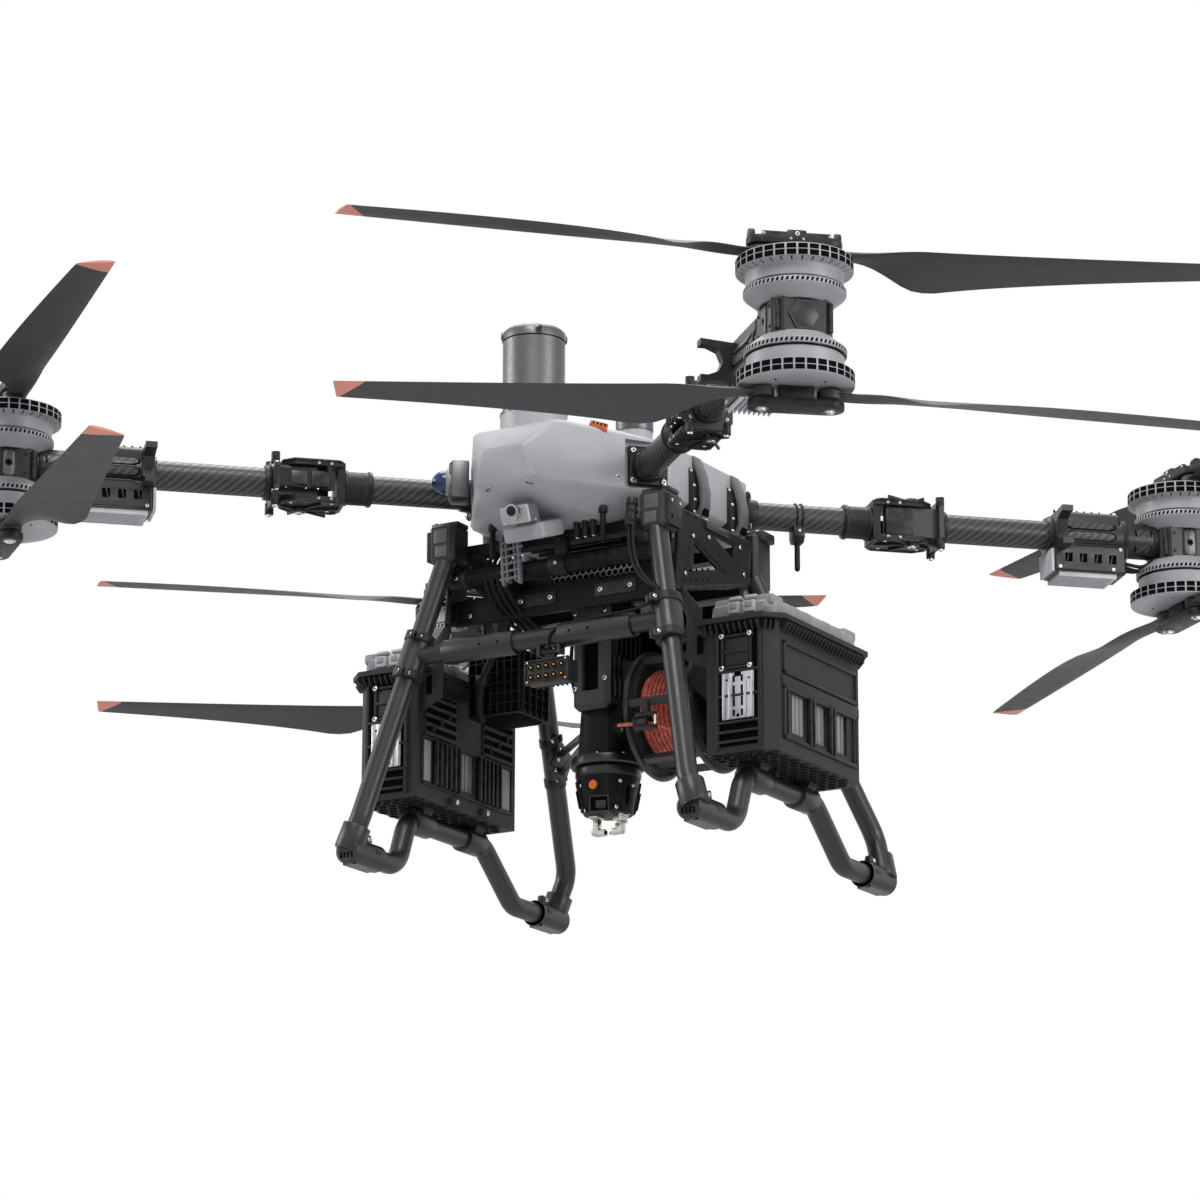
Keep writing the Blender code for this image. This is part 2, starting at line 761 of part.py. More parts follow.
def root_mesh():
    """The fixed inner arm of a corner whose hinge is on its left: socket flange, tube, neck, fork and pin."""
    socket = block((SOCKET_THICK, SOCKET_SIZE, SOCKET_SIZE), (SOCKET_AT + SOCKET_THICK / 2, 0, 0), bevel=SOCKET_EDGE)
    tube = rod(ROOT_TUBE_R, (SOCKET_AT + SOCKET_EDGE, 0, 0), (NECK_AT + SOCKET_EDGE, 0, 0))
    neck = rod(NECK_R, (NECK_AT, 0, 0), (FORK_AT + FORK_WALL / 2, 0, 0))
    wall_tall = 2 * (FORK_GAP + FORK_PLATE / 2)
    wall = block((FORK_WALL, 2 * NECK_R, wall_tall), (FORK_AT + FORK_WALL / 2, 0, 0))
    nose = FORK_END - FORK_CORNER
    outline = [(FORK_AT, -NECK_R), (FORK_AT + FORK_WALL, -FORK_HALF), (nose, -FORK_HALF), (FORK_END, -FORK_CORNER),
               (FORK_END, FORK_CORNER), (nose, FORK_HALF), (FORK_AT + FORK_WALL, FORK_HALF), (FORK_AT, NECK_R)]
    pieces = [tube, neck, wall]
    for side in (-1, 1):
        plate_z = side * (FORK_GAP + FORK_PLATE / 2)
        pieces.append(plate([outline], FORK_PLATE, (0, 0, plate_z)))
        boss_z = side * (FORK_GAP + FORK_PLATE + BOSS_TALL)
        pieces.append(rod(BOSS_R, (PIN_AT, PIN_SIDE, plate_z), (PIN_AT, PIN_SIDE, boss_z), ROUND_EYE))
    reach = FORK_GAP + FORK_PLATE / 2
    pieces.append(rod(PIN_R, (PIN_AT, PIN_SIDE, -reach), (PIN_AT, PIN_SIDE, reach), ROUND_SMALL))
    return united(socket, *pieces)


def latch_mesh():
    """The lever on the far side from the hinge, with its origin on its own hinge."""
    inner = LATCH_SIDE - TONGUE_HALF - RUN
    plain = inner - LATCH_THICK
    outline = [(0, -LATCH_BARREL_R / 2), (-LATCH_BARREL_R, -LATCH_BARREL_R / 2), (-LATCH_LONG, plain),
               (-LATCH_LONG - LATCH_THICK, inner / 2), (-LATCH_LONG, inner), (-LATCH_CLEAR, inner),
               (-LATCH_CLEAR, LATCH_BARREL_R / 2), (0, LATCH_BARREL_R / 2)]
    lever = plate([outline], 2 * LATCH_HALF)
    return united(lever, rod(LATCH_BARREL_R, (0, 0, -LATCH_HALF), (0, 0, LATCH_HALF), ROUND_SMALL))


def build_arms():
    carbon = paint("carbon_black", (0.02, 0.02, 0.022), 0.35)
    black = paint("joint_black", (0.015, 0.015, 0.016), 0.5)
    grey = paint("motor_grey", (0.42, 0.43, 0.45), 0.4)
    blade_black = paint("blade_charcoal", (0.035, 0.035, 0.037), 0.6)
    arms = {}
    for end, facing in (("front", -1), ("rear", 1)):
        arms[(end, 1)] = arm_mesh(facing)
        arms[(end, -1)] = mirrored(arms[(end, 1)], "Y")
    roots = {1: root_mesh()}
    roots[-1] = mirrored(roots[1], "Y")
    latches = {1: latch_mesh()}
    latches[-1] = mirrored(latches[1], "Y")
    rotors = {1: rotor_mesh(True), -1: moved(rotor_mesh(False), turn=about("X", 180))}
    blades = {(hand, level): blade_mesh(hand, level) for hand in (-1, 1) for level in (-1, 1)}
    for corner, (azimuth, side) in CORNERS.items():
        turn = about("Z", azimuth)
        root = node(f"arm_root_{corner}", roots[side], carbon, (0, 0, ARM_Z), turn)
        pin = turn @ Vector((PIN_AT, side * PIN_SIDE, 0)) + Vector((0, 0, ARM_Z))
        arm = node(f"arm_{corner}", arms[(corner.split("_")[0], side)], carbon, pin, turn, root)
        hinge = turn @ Vector((JOINT_FLANGE_AT + JOINT_FLANGE_THICK / 2, -side * LATCH_SIDE, 0))
        node(f"arm_latch_{corner}", latches[side], black, hinge + Vector((0, 0, ARM_Z)), turn, arm)
        motor = turn @ Vector((ARM_LONG, 0, 0)) + Vector((0, 0, PAIR_Z))
        for level, label, rest in ((1, "upper", REST[corner][0]), (-1, "lower", REST[corner][1])):
            rotor = node(f"rotor_{corner}_{label}", rotors[level], grey, motor, about("Z", rest), arm)
            for letter, half_turn in (("a", 0.0), ("b", 180.0)):
                spoke = about("Z", rest + half_turn)
                eye = spoke @ Vector((BOLT_OUT, 0, level * EYE_Z))
                node(f"blade_{corner}_{label}_{letter}", blades[(-side * level, level)], blade_black,
                     motor + eye, spoke, rotor)


def hull(points):
    """The tight faceted skin round points given on the left side and mirrored to the right."""
    mesh = bpy.data.meshes.new("hull")
    data = bmesh.new()
    for x, y, z in points:
        data.verts.new((x, y, z))
        data.verts.new((-x, y, z))
    result = bmesh.ops.convex_hull(data, input=data.verts)
    spare = [item for item in result["geom_interior"] if isinstance(item, bmesh.types.BMVert)]
    bmesh.ops.delete(data, geom=spare, context="VERTS")
    bmesh.ops.dissolve_limit(data, angle_limit=FLAT, verts=data.verts, edges=data.edges)
    data.to_mesh(mesh)
    data.free()
    return mesh


def chin(mesh):
    """Carry a piece of the camera and radar group from its own upright frame to its place under the nose."""
    return moved(mesh, CHIN_AT, about("X", CHIN_TILT))


def fuselage_mesh():
    """The moulded body shell with arm bosses, roof turret, canister seat, chin bracket and radar."""
    shell = softened(hull([
        (NOSE_HALF, -NOSE_REACH, NOSE_Z),
        (WAIST_NOSE_HALF, -WAIST_NOSE_REACH, WAIST_Z),
        (BROW_HALF, -BROW_REACH, BROW_Z),
        (ROOF_HALF, -ROOF_REACH, ROOF_Z),
        (ROOF_HALF, ROOF_REACH, ROOF_Z),
        (SIDE_HALF, -SIDE_REACH, SHOULDER_Z),
        (SIDE_HALF, -SIDE_REACH, WAIST_Z),
        (SIDE_HALF, SIDE_REACH, SHOULDER_Z),
        (SIDE_HALF, SIDE_REACH, WAIST_Z),
        (TAIL_HALF, TAIL_REACH, SHOULDER_Z),
        (TAIL_HALF, TAIL_REACH, WAIST_Z),
        (CHIN_HALF, -CHIN_REACH, CHIN_Z),
        (FLOOR_HALF, -FLOOR_FRONT, FLOOR_Z),
        (FLOOR_HALF, FLOOR_REAR, FLOOR_Z),
    ]), SHELL_EDGE, 12.0)
    face = SOCKET_AT - FIT
    clear = BOSS_WIDE + 2 * RUN
    for azimuth, _ in CORNERS.values():
        turn = about("Z", azimuth)
        shell = cut(shell, moved(block((BOSS_DEEP, clear, clear), (face + BOSS_DEEP / 2, 0, ARM_Z)), turn=turn))
        boss = block((BOSS_DEEP, BOSS_WIDE, BOSS_WIDE), (face - BOSS_DEEP / 2, 0, ARM_Z), bevel=BOSS_EDGE)
        shell = united(shell, moved(boss, turn=turn))
    seat = rod(CAN_SEAT_R, (0, CAN_Y, NOSE_Z), (0, CAN_Y, CAN_SEAT_Z), ROUND_MOTOR)
    turret = rod(TURRET_R, (0, TURRET_Y, SHOULDER_Z), (0, TURRET_Y, TURRET_TOP), ROUND_MOTOR)
    bracket = chin(block(BRACKET_SIZE, (0, -BRACKET_SIZE[1] / 2, BRACKET_RISE)))
    radar = chin(block(RADAR_SIZE, (0, RADAR_BACK, -RADAR_DROP), bevel=RADAR_EDGE))
    return united(shell, seat, turret, bracket, radar)


def camera_mesh():
    """The flight camera in its metal box, in front of the chin bracket."""
    back = -BRACKET_SIZE[1] - FIT
    centre = (0, back - CAMERA_SIZE[1] / 2, -CAMERA_DROP)
    front = back - CAMERA_SIZE[1]
    lens = rod(LENS_R, (0, front + LENS_OUT, -CAMERA_DROP), (0, front - LENS_OUT, -CAMERA_DROP), ROUND_EYE)
    return chin(united(block(CAMERA_SIZE, centre, bevel=CAMERA_EDGE), lens))


def canister_mesh():
    """The parachute canister: a plain tube with a cap ring and a rounded lid."""
    foot = CAN_SEAT_Z + FIT
    cap = CAN_R + CAN_CAP_STEP
    return turned(
        [(0, CAN_TOP), (CAN_R - CAN_CHAMFER, CAN_TOP), (cap, CAN_TOP - CAN_CHAMFER), (cap, CAN_TOP - CAN_CAP_TALL),
         (CAN_R, CAN_TOP - CAN_CAP_TALL), (CAN_R, foot), (0, foot)], ROUND_MOTOR, (0, CAN_Y, 0))


def shrunk(points, share):
    """Points drawn in towards their middle."""
    middle = [sum(values) / len(points) for values in zip(*points)]
    return [(middle[0] + (x - middle[0]) * share, middle[1] + (y - middle[1]) * share) for x, y in points]


def airframe_mesh():
    """Black frame under the body: beams, pierced side plates, cross tube, winch deck and equipment tray."""
    beam_z = FLOOR_Z - FIT - BEAM_TALL / 2
    front = block((2 * CHEEK_X, BEAM_WIDE, BEAM_TALL), (0, BEAM_FRONT_Y, beam_z))
    rear = block((2 * CHEEK_X, BEAM_WIDE, BEAM_TALL), (0, BEAM_REAR_Y, beam_z))
    corners = [CHEEK_TOP_FRONT, CHEEK_LOW_FRONT, CHEEK_LOW_REAR, CHEEK_TOP_REAR]
    upper = shrunk([CHEEK_TOP_FRONT, CHEEK_LOW_REAR, CHEEK_TOP_REAR], CHEEK_OPEN)
    lower = shrunk([CHEEK_TOP_FRONT, CHEEK_LOW_FRONT, CHEEK_LOW_REAR], CHEEK_OPEN)
    cheeks = [plate([corners, upper, lower], CHEEK_PLATE, (side * CHEEK_X, 0, 0), UPRIGHT) for side in (-1, 1)]
    cross = rod(CROSS_R, (-CHEEK_X, CROSS_Y, CROSS_Z), (CHEEK_X, CROSS_Y, CROSS_Z))
    low = block((2 * CHEEK_X, LOW_BEAM_THICK, LOW_BEAM_TALL), (0, LOW_BEAM_Y, LOW_BEAM_Z))
    deck_front = LOW_BEAM_Y - LOW_BEAM_THICK / 2
    deck_long = DECK_BACK - deck_front
    deck = block((2 * DECK_HALF, deck_long, DECK_THICK), (0, deck_front + deck_long / 2, DECK_Z))
    tie_z = DECK_Z + BEAM_TALL / 2
    tie = block((2 * CHEEK_X, BEAM_WIDE / 2, BEAM_WIDE), (0, TIE_Y, tie_z))
    tray_size = (TRAY_X[1] - TRAY_X[0], TRAY_Y[1] - TRAY_Y[0], TRAY_TALL)
    tray_at = (sum(TRAY_X) / 2, sum(TRAY_Y) / 2, DECK_Z + TRAY_TALL / 2)
    tray = block(tray_size, tray_at)
    return united(front, cheeks[0], cheeks[1], rear, cross, low, deck, tie, tray)


def leg_path(front):
    top = Vector(FRONT_LEG_TOP if front else REAR_LEG_TOP)
    knee = Vector(FRONT_LEG_KNEE if front else REAR_LEG_KNEE)
    foot = Vector((SKID_X, FRONT_FOOT_Y if front else REAR_FOOT_Y, SKID_Z + FOOT_SINK))
    return top, knee, foot


def crossbar_point():
    """Where the middle of the front crossbar meets the axis of the left front leg."""
    top, knee, _ = leg_path(True)
    return top + (knee - top) * ((top.z - CROSSBAR_Z) / (top.z - knee.z))


def collar_ends(radius_gap=0.0):
    top, knee, _ = leg_path(True)
    axis = (knee - top).normalized()
    middle = crossbar_point()
    return rod(LEG_COLLAR_R + radius_gap, middle - axis * LEG_COLLAR_HALF, middle + axis * LEG_COLLAR_HALF)


def leg_mesh(front):
    """A left landing leg with its top clamp; front legs also carry the collar of the crossbar."""
    tube = swept(rounded(leg_path(front), KNEE_BEND), LEG_R)
    tall = CLAMP_TALL if front else REAR_CLAMP_TALL
    deep = BEAM_WIDE / 2 + FIT + CLAMP_DEEP / 2
    y = BEAM_FRONT_Y - deep if front else BEAM_REAR_Y + deep
    clamp = block((CLAMP_WIDE, CLAMP_DEEP, tall), (CLAMP_X, y, CLAMP_TOP - tall / 2), bevel=CLAMP_EDGE)
    if front:
        return united(clamp, tube, collar_ends())
    return united(clamp, tube)


def skid_mesh():
    """The left skid tube with foot sleeves, pads and the sockets that the legs stand in."""
    front_end = FRONT_FOOT_Y - FOOT_OVERHANG
    rear_end = REAR_FOOT_Y + FOOT_OVERHANG
    route = [(front_end, SKID_Z), (SKID_RISE_Y[0], SKID_Z), (SKID_RISE_Y[1], SKID_HIGH),
             (SKID_DROP_Y[0], SKID_HIGH), (SKID_DROP_Y[1], SKID_Z), (rear_end, SKID_Z)]
    mesh = swept(rounded([(SKID_X, y, z) for y, z in route], SKID_BEND), SKID_R)
    bores = []
    for front, end, inward in ((True, front_end, 1), (False, rear_end, -1)):
        _, knee, foot = leg_path(front)
        up = (knee - foot).normalized()
        sleeve_end = (SKID_X, end + inward * SKID_SLEEVE_LONG, SKID_Z)
        sleeve = rod(SKID_SLEEVE_R, (SKID_X, end, SKID_Z), sleeve_end)
        socket = rod(SOCKET_R, foot - up * FOOT_SINK, foot + up * (SOCKET_TALL - FOOT_SINK))
        pad_at = (SKID_X, end + inward * SKID_SLEEVE_LONG / 2, FOOT_PAD[2] / 2)
        mesh = united(mesh, sleeve, socket, block(FOOT_PAD, pad_at))
        bores.append(rod(LEG_R + 2 * RUN, foot - up * FIT, foot + up * SOCKET_TALL))
    return cut(mesh, *bores)


def crossbar_mesh():
    """The front crossbar between the legs, with two ears for the spotlight."""
    left = crossbar_point()
    right = Vector((-left.x, left.y, left.z))
    bar = rod(CROSSBAR_R, left, right)
    ears = []
    for side in (-1, 1):
        ear_top = CROSSBAR_Z
        ear_low = LIGHT_PIVOT_Z - EAR_DROP
        ears.append(block((EAR_THICK, EAR_DEEP, ear_top - ear_low),
                          (LIGHT_X + side * EAR_OUT, left.y, (ear_top + ear_low) / 2)))
    collar = collar_ends(FIT)
    return cut(united(bar, *ears), collar, mirrored(collar, "X"))


def spotlight_mesh():
    """The flood light, with its origin on the tilt axis."""
    barrel_half = EAR_OUT - EAR_THICK / 2 - FIT
    barrel = rod(LIGHT_BARREL_R, (-barrel_half, 0, 0), (barrel_half, 0, 0), ROUND_EYE)
    drop = LIGHT_PIVOT_Z - LIGHT_Z
    neck = block((EAR_OUT, LIGHT_BARREL_R * 1.5, drop), (0, 0, -drop / 2))
    return united(block(LIGHT_SIZE, (0, 0, -drop), bevel=LIGHT_EDGE), barrel, neck)


def box_outline(inset):
    """Plan of the left battery box, drawn in by an inset, with its two outer corners cut off."""
    x0 = BOX_X + inset
    x1 = BOX_X + BOX_WIDE - inset
    y0 = BOX_FRONT + inset
    y1 = BOX_FRONT + BOX_LONG - inset
    corner = BOX_CORNER - inset * (2 - math.sqrt(2))
    return [(x0, y0), (x1 - corner, y0), (x1, y0 + corner), (x1, y1 - corner), (x1 - corner, y1), (x0, y1)]


def layer(outline, low, high):
    """A plate between two heights."""
    return plate([outline], high - low, (0, 0, (low + high) / 2))


def battery_box_mesh():
    """The open-topped battery box with its rim, side windows and the saddles that stand on the skid."""
    shell = united(layer(box_outline(0.0), BOX_FLOOR, BOX_TOP),
                   layer(box_outline(-RIM_OUT), BOX_TOP - RIM_THICK, BOX_TOP))
    shell = cut(shell, layer(box_outline(BOX_WALL), BOX_FLOOR + BOX_WALL, BOX_TOP + BOX_WALL))
    middle_y = BOX_FRONT + BOX_LONG / 2
    middle_x = BOX_X + BOX_WIDE / 2
    for i in range(WINDOWS):
        y = middle_y + (i - (WINDOWS - 1) / 2) * WINDOW_STEP
        shell = cut(shell, block((2 * BOX_WIDE, WINDOW_LONG, WINDOW_TALL), (middle_x, y, WINDOW_Z)))
    saddle_low = SKID_HIGH + SKID_R + FIT
    for y in (SKID_RISE_Y[1] + SADDLE_IN, SKID_DROP_Y[0] - SADDLE_IN):
        saddle = block((SADDLE_WIDE, SADDLE_IN, BOX_FLOOR + BOX_WALL / 2 - saddle_low),
                       (SKID_X, y, (BOX_FLOOR + BOX_WALL / 2 + saddle_low) / 2))
        shell = united(shell, saddle)
    return shell


def battery_mesh():
    """The battery with its overhanging lid and carrying handle."""
    case = layer(box_outline(BOX_WALL + BATTERY_SLACK), BOX_FLOOR + BOX_WALL + FIT, BOX_TOP + LID_TALL / 2)
    lid = softened(layer(box_outline(LID_IN), BOX_TOP + FIT, BOX_TOP + LID_TALL), LID_EDGE, 60.0)
    x = BOX_X + BOX_WIDE / 2
    y = BOX_FRONT + BOX_LONG / 2
    top = BOX_TOP + LID_TALL
    half = HANDLE_LONG / 2
    grip = swept(rounded([(x, y - half, top - HANDLE_R), (x, y - half, top + 2 * HANDLE_R),
                          (x, y + half, top + 2 * HANDLE_R), (x, y + half, top - HANDLE_R)], HANDLE_R), HANDLE_R, 1)
    return united(case, lid, grip)


def column_mesh():
    """The winch column with its front slot and cooling fins, flared to the bell that the hook docks in."""
    top = DECK_Z - DECK_THICK / 2 - FIT
    depth = COLUMN_BACK - COLUMN_FRONT
    middle_y = (COLUMN_FRONT + COLUMN_BACK) / 2
    column = block((2 * COLUMN_X, depth, top - COLUMN_FOOT), (0, middle_y, (top + COLUMN_FOOT) / 2), bevel=COLUMN_EDGE)
    slot_low = COLUMN_FOOT + SLOT_WIDE
    slot_high = top - SLOT_WIDE
    slot = block((SLOT_WIDE, 2 * SLOT_DEEP, slot_high - slot_low), (0, COLUMN_FRONT, (slot_low + slot_high) / 2))
    flare = rod(BELL_NECK_R, (0, 0, BELL_RING_Z[1] - FIT), (0, 0, COLUMN_FOOT + COLUMN_EDGE), end_radius=FLARE_TOP_R)
    ring = rod(BELL_RING_R, (0, 0, BELL_RING_Z[0]), (0, 0, BELL_RING_Z[1]), ROUND_MOTOR)
    fins = []
    for i in range(FIN_COUNT):
        y = COLUMN_FRONT + depth * (i + 1) / (FIN_COUNT + 1)
        fins.append(block((2 * FIN_OUT, FIN_THICK, top - FIN_LOW), (COLUMN_X, y, (top - COLUMN_EDGE + FIN_LOW) / 2)))
    body = united(cut(column, slot), flare, ring, *fins)
    hook_bore = rod(HOOK_BORE_R, (0, 0, BELL_RING_Z[0] - FIT), (0, 0, HOOK_BORE_TOP))
    rope_bore = rod(ROPE_BORE_R, (0, 0, HOOK_BORE_TOP - ROPE_BORE_R), (0, 0, ROPE_BORE_TOP), ROUND_EYE)
    return cut(body, hook_bore, rope_bore)


def drum_mesh():
    """The rope drum, turned about its shaft, with its origin in the middle of the drum."""
    half = (DRUM_X[1] - DRUM_X[0]) / 2
    core = half - DRUM_FLANGE
    shaft = half + CAGE_SIDE
    side = [(0, shaft), (DRUM_SHAFT_R, shaft), (DRUM_SHAFT_R, half), (DRUM_FLANGE_R, half), (DRUM_FLANGE_R, core),
            (DRUM_CORE_R, core)]
    return turned(side + [(r, -x) for r, x in reversed(side)], ROUND_MOTOR, turn=about("Y", 90))


def drum_middle():
    return Vector(((DRUM_X[0] + DRUM_X[1]) / 2, 0, DRUM_Z))


def winding_point(turn):
    """A point of the outer rope layer, counted in turns from its first loop; whole turns leave the drum together."""
    radius = DRUM_CORE_R + ROPE_R + ROPE_SEAT
    first_x = drum_middle().x - (ROPE_LOOPS + 1) * ROPE_PITCH / 2
    angle = math.radians(ROPE_OFF) - 2 * math.pi * turn
    return Vector((first_x + ROPE_PITCH * turn, -radius * math.cos(angle), DRUM_Z - radius * math.sin(angle)))


def rope_tangent():
    """The way the rope runs where it leaves the drum."""
    off = math.radians(ROPE_OFF)
    return Vector((0, -math.sin(off), math.cos(off)))


def rope_coil():
    """Middle line of the outer rope layer: a helix whose two ends run straight for one rope diameter."""
    points = [winding_point(i / ROPE_STEPS) for i in range(ROPE_LOOPS * ROPE_STEPS + 1)]
    end = rope_tangent() * 2 * ROPE_R
    return [points[0] - end] + points + [points[-1] + end]


def coil_gap(points):
    """Least clear space between one loop of the rope and the next."""
    nearest = min((a - b).length for i, a in enumerate(points) for b in points[i + ROPE_STEPS // 2:])
    return nearest - 2 * ROPE_R


def flowing(knots, steps):
    """A smooth line through the knots, whose slope at each knot follows the lengths on either side of it."""
    route = []
    last = len(knots) - 1
    for i in range(last):
        span = (knots[i + 1] - knots[i]).length
        slopes = []
        for j in (i, i + 1):
            low, high = max(j - 1, 0), min(j + 1, last)
            reach = (knots[j] - knots[low]).length + (knots[high] - knots[j]).length
            slopes.append((knots[high] - knots[low]) * span / reach)
        for step in range(steps):
            t = step / steps
            shape = (2 * t**3 - 3 * t**2 + 1, t**3 - 2 * t**2 + t, 3 * t**2 - 2 * t**3, t**3 - t**2)
            route.append(knots[i] * shape[0] + slopes[0] * shape[1] + knots[i + 1] * shape[2] + slopes[1] * shape[3])
    return route + [knots[-1]]


def lead_route():
    """Middle line of the rope from its own slot beside the last loop, through the fairlead, to the column."""
    start = winding_point(ROPE_LOOPS + 1)
    straight = rope_tangent() * LEAD_STRAIGHT
    fair = Vector(FAIRLEAD_AT)
    half_long = Vector((FAIRLEAD_LONG / 2, 0, 0))
    knots = [start, start + straight / 2, start + straight, fair + half_long, fair - half_long]
    return flowing(knots + [Vector(point) for point in ROPE_LEAD], LEAD_STEPS)


def cage_mesh():
    """The open cage round the drum: two pierced side plates, cross ribs, a bracket to the column and the fairlead."""
    middle = drum_middle()
    half = (DRUM_X[1] - DRUM_X[0]) / 2 + RUN
    rim = arc((0, 0), CAGE_R, 0, 360 - 360 / ROUND_MOTOR, ROUND_MOTOR - 1)
    sector = 360 / CAGE_SPOKES
    spoke = math.degrees(CAGE_RIB_WIDE / CAGE_HUB_R) / 2
    windows = []
    for i in range(CAGE_SPOKES):
        first = i * sector + spoke
        last = (i + 1) * sector - spoke
        windows.append(arc((0, 0), CAGE_R - CAGE_BAND * 2, first, last, 5) + arc((0, 0), CAGE_HUB_R, last, first, 2))
    bore = arc((0, 0), DRUM_SHAFT_R + 2 * RUN, 0, 324, 9)
    mesh = None
    for side in (-1, 1):
        at = middle + Vector((side * (half + CAGE_SIDE / 2), 0, 0))
        disc = plate([rim, bore] + windows, CAGE_SIDE, at, about("Y", 90))
        mesh = united(mesh, disc) if mesh else disc
    rib_long = 2 * half + CAGE_SIDE
    for i in range(CAGE_RIBS):
        rib = block((rib_long, CAGE_BAND, CAGE_RIB_WIDE), (0, -CAGE_R + CAGE_BAND, 0))
        mesh = united(mesh, moved(rib, middle, about("X", i * 360 / CAGE_RIBS)))
    plate_x = DRUM_X[0] - RUN - CAGE_SIDE / 2
    column_x = COLUMN_X + FIT
    bracket_z = DRUM_Z + CAGE_R - CAGE_BAND - BRACKET_TALL / 2
    bracket = block((plate_x - column_x, BRACKET_WIDE, BRACKET_TALL), ((plate_x + column_x) / 2, 0, bracket_z))
    fair = Vector(FAIRLEAD_AT)
    reach = DRUM_Z - fair.z - FAIRLEAD_R / 2
    post = block((FAIRLEAD_R, FAIRLEAD_R, reach), (fair.x, -CAGE_R + CAGE_BAND / 2, DRUM_Z - reach / 2))
    arm = block((FAIRLEAD_R, 2 * FAIRLEAD_R, FAIRLEAD_R), (fair.x, fair.y + FAIRLEAD_R / 2, fair.z + FAIRLEAD_R))
    half_long = Vector((FAIRLEAD_LONG / 2, 0, 0))
    eye = rod(FAIRLEAD_R, fair - half_long, fair + half_long, ROUND_EYE)
    mesh = united(mesh, bracket, post, arm, eye)
    return cut(mesh, rod(FAIRLEAD_BORE, fair - half_long * 2, fair + half_long * 2, ROUND_SMALL))


def hook_mesh():
    """The hook unit: docking stem with its rope, tapered body, fixed prong, gate lugs and button pocket."""
    body = turned(
        [(0, HOOK_STEM_TOP), (HOOK_STEM_R, HOOK_STEM_TOP), (HOOK_STEM_R, HOOK_TOP), (HOOK_TOP_R, HOOK_TOP),
         (HOOK_TOP_R, HOOK_TOP - HOOK_BAND), (HOOK_WAIST_R, HOOK_FOOT), (0, HOOK_FOOT)], ROUND_TUBE)
    rope = rod(ROPE_R, (0, 0, HOOK_STEM_TOP - ROPE_R), (0, 0, ROPE_BORE_TOP - ROPE_BORE_R), ROUND_SMALL)
    foot = HOOK_FOOT + PRONG_R
    prong = swept(rounded([(-HOOK_REACH, 0, foot), (-HOOK_REACH, 0, PRONG_FOOT), (-GATE_GAP / 2, 0, PRONG_FOOT)],
                          PRONG_BEND), PRONG_R)
    lugs = []
    for side in (-1, 1):
        y = side * (GATE_HALF + FIT + LUG_THICK / 2)
        lugs.append(block((2 * GATE_BARREL_R, LUG_THICK, HOOK_FOOT - GATE_Z + 2 * GATE_BARREL_R),
                          (HOOK_REACH, y, (HOOK_FOOT + GATE_Z) / 2)))
    floor = -BUTTON_SEAT - BUTTON_OUT + BUTTON_LONG + BUTTON_TRAVEL + RUN
    pocket = rod(BUTTON_R + RUN, (0, floor, BUTTON_Z), (0, -2 * HOOK_TOP_R, BUTTON_Z), ROUND_EYE)
    return cut(united(body, rope, prong, *lugs), pocket)


def gate_mesh():
    """The swinging half of the hook, with its origin on its hinge."""
    drop = PRONG_FOOT - GATE_Z
    bar = swept(rounded([(0, 0, 0), (0, 0, drop), (GATE_GAP / 2 - HOOK_REACH, 0, drop)], PRONG_BEND), PRONG_R)
    return united(bar, rod(GATE_BARREL_R, (0, -GATE_HALF, 0), (0, GATE_HALF, 0), ROUND_EYE))


def button_mesh():
    """The release button, with its origin on its face and its travel along +Y."""
    return rod(BUTTON_R - RUN, (0, 0, 0), (0, BUTTON_LONG, 0), ROUND_EYE)


def build_body():
    shell_grey = paint("shell_grey", (0.50, 0.52, 0.55), 0.45)
    node("fuselage", fuselage_mesh(), shell_grey)
    node("parachute_canister", canister_mesh(), paint("canister_grey", (0.30, 0.31, 0.33), 0.4))
    node("front_camera", camera_mesh(), paint("camera_silver", (0.55, 0.56, 0.57), 0.3, 0.6))
    node("airframe", airframe_mesh(), paint("frame_black", (0.012, 0.012, 0.013), 0.5))


def build_gear():
    dark = paint("gear_charcoal", (0.022, 0.022, 0.024), 0.45)
    for label, front in (("front", True), ("rear", False)):
        left = leg_mesh(front)
        node(f"leg_{label}_left", left, dark)
        node(f"leg_{label}_right", mirrored(left, "X"), dark)
    left = skid_mesh()
    node("skid_left", left, dark)
    node("skid_right", mirrored(left, "X"), dark)
    bar = node("crossbar_front", crossbar_mesh(), dark)
    pivot = (LIGHT_X, crossbar_point().y, LIGHT_PIVOT_Z)
    node("spotlight", spotlight_mesh(), paint("light_black", (0.015, 0.015, 0.016), 0.4), pivot, parent=bar)


def build_batteries():
    box_dark = paint("box_charcoal", (0.025, 0.025, 0.027), 0.5)
    grey = paint("battery_grey", (0.36, 0.37, 0.39), 0.5)
    box = battery_box_mesh()
    battery = battery_mesh()
    left = node("battery_box_left", box, box_dark)
    right = node("battery_box_right", mirrored(box, "X"), box_dark)
    node("battery_left", battery, grey, parent=left)
    node("battery_right", mirrored(battery, "X"), grey, parent=right)


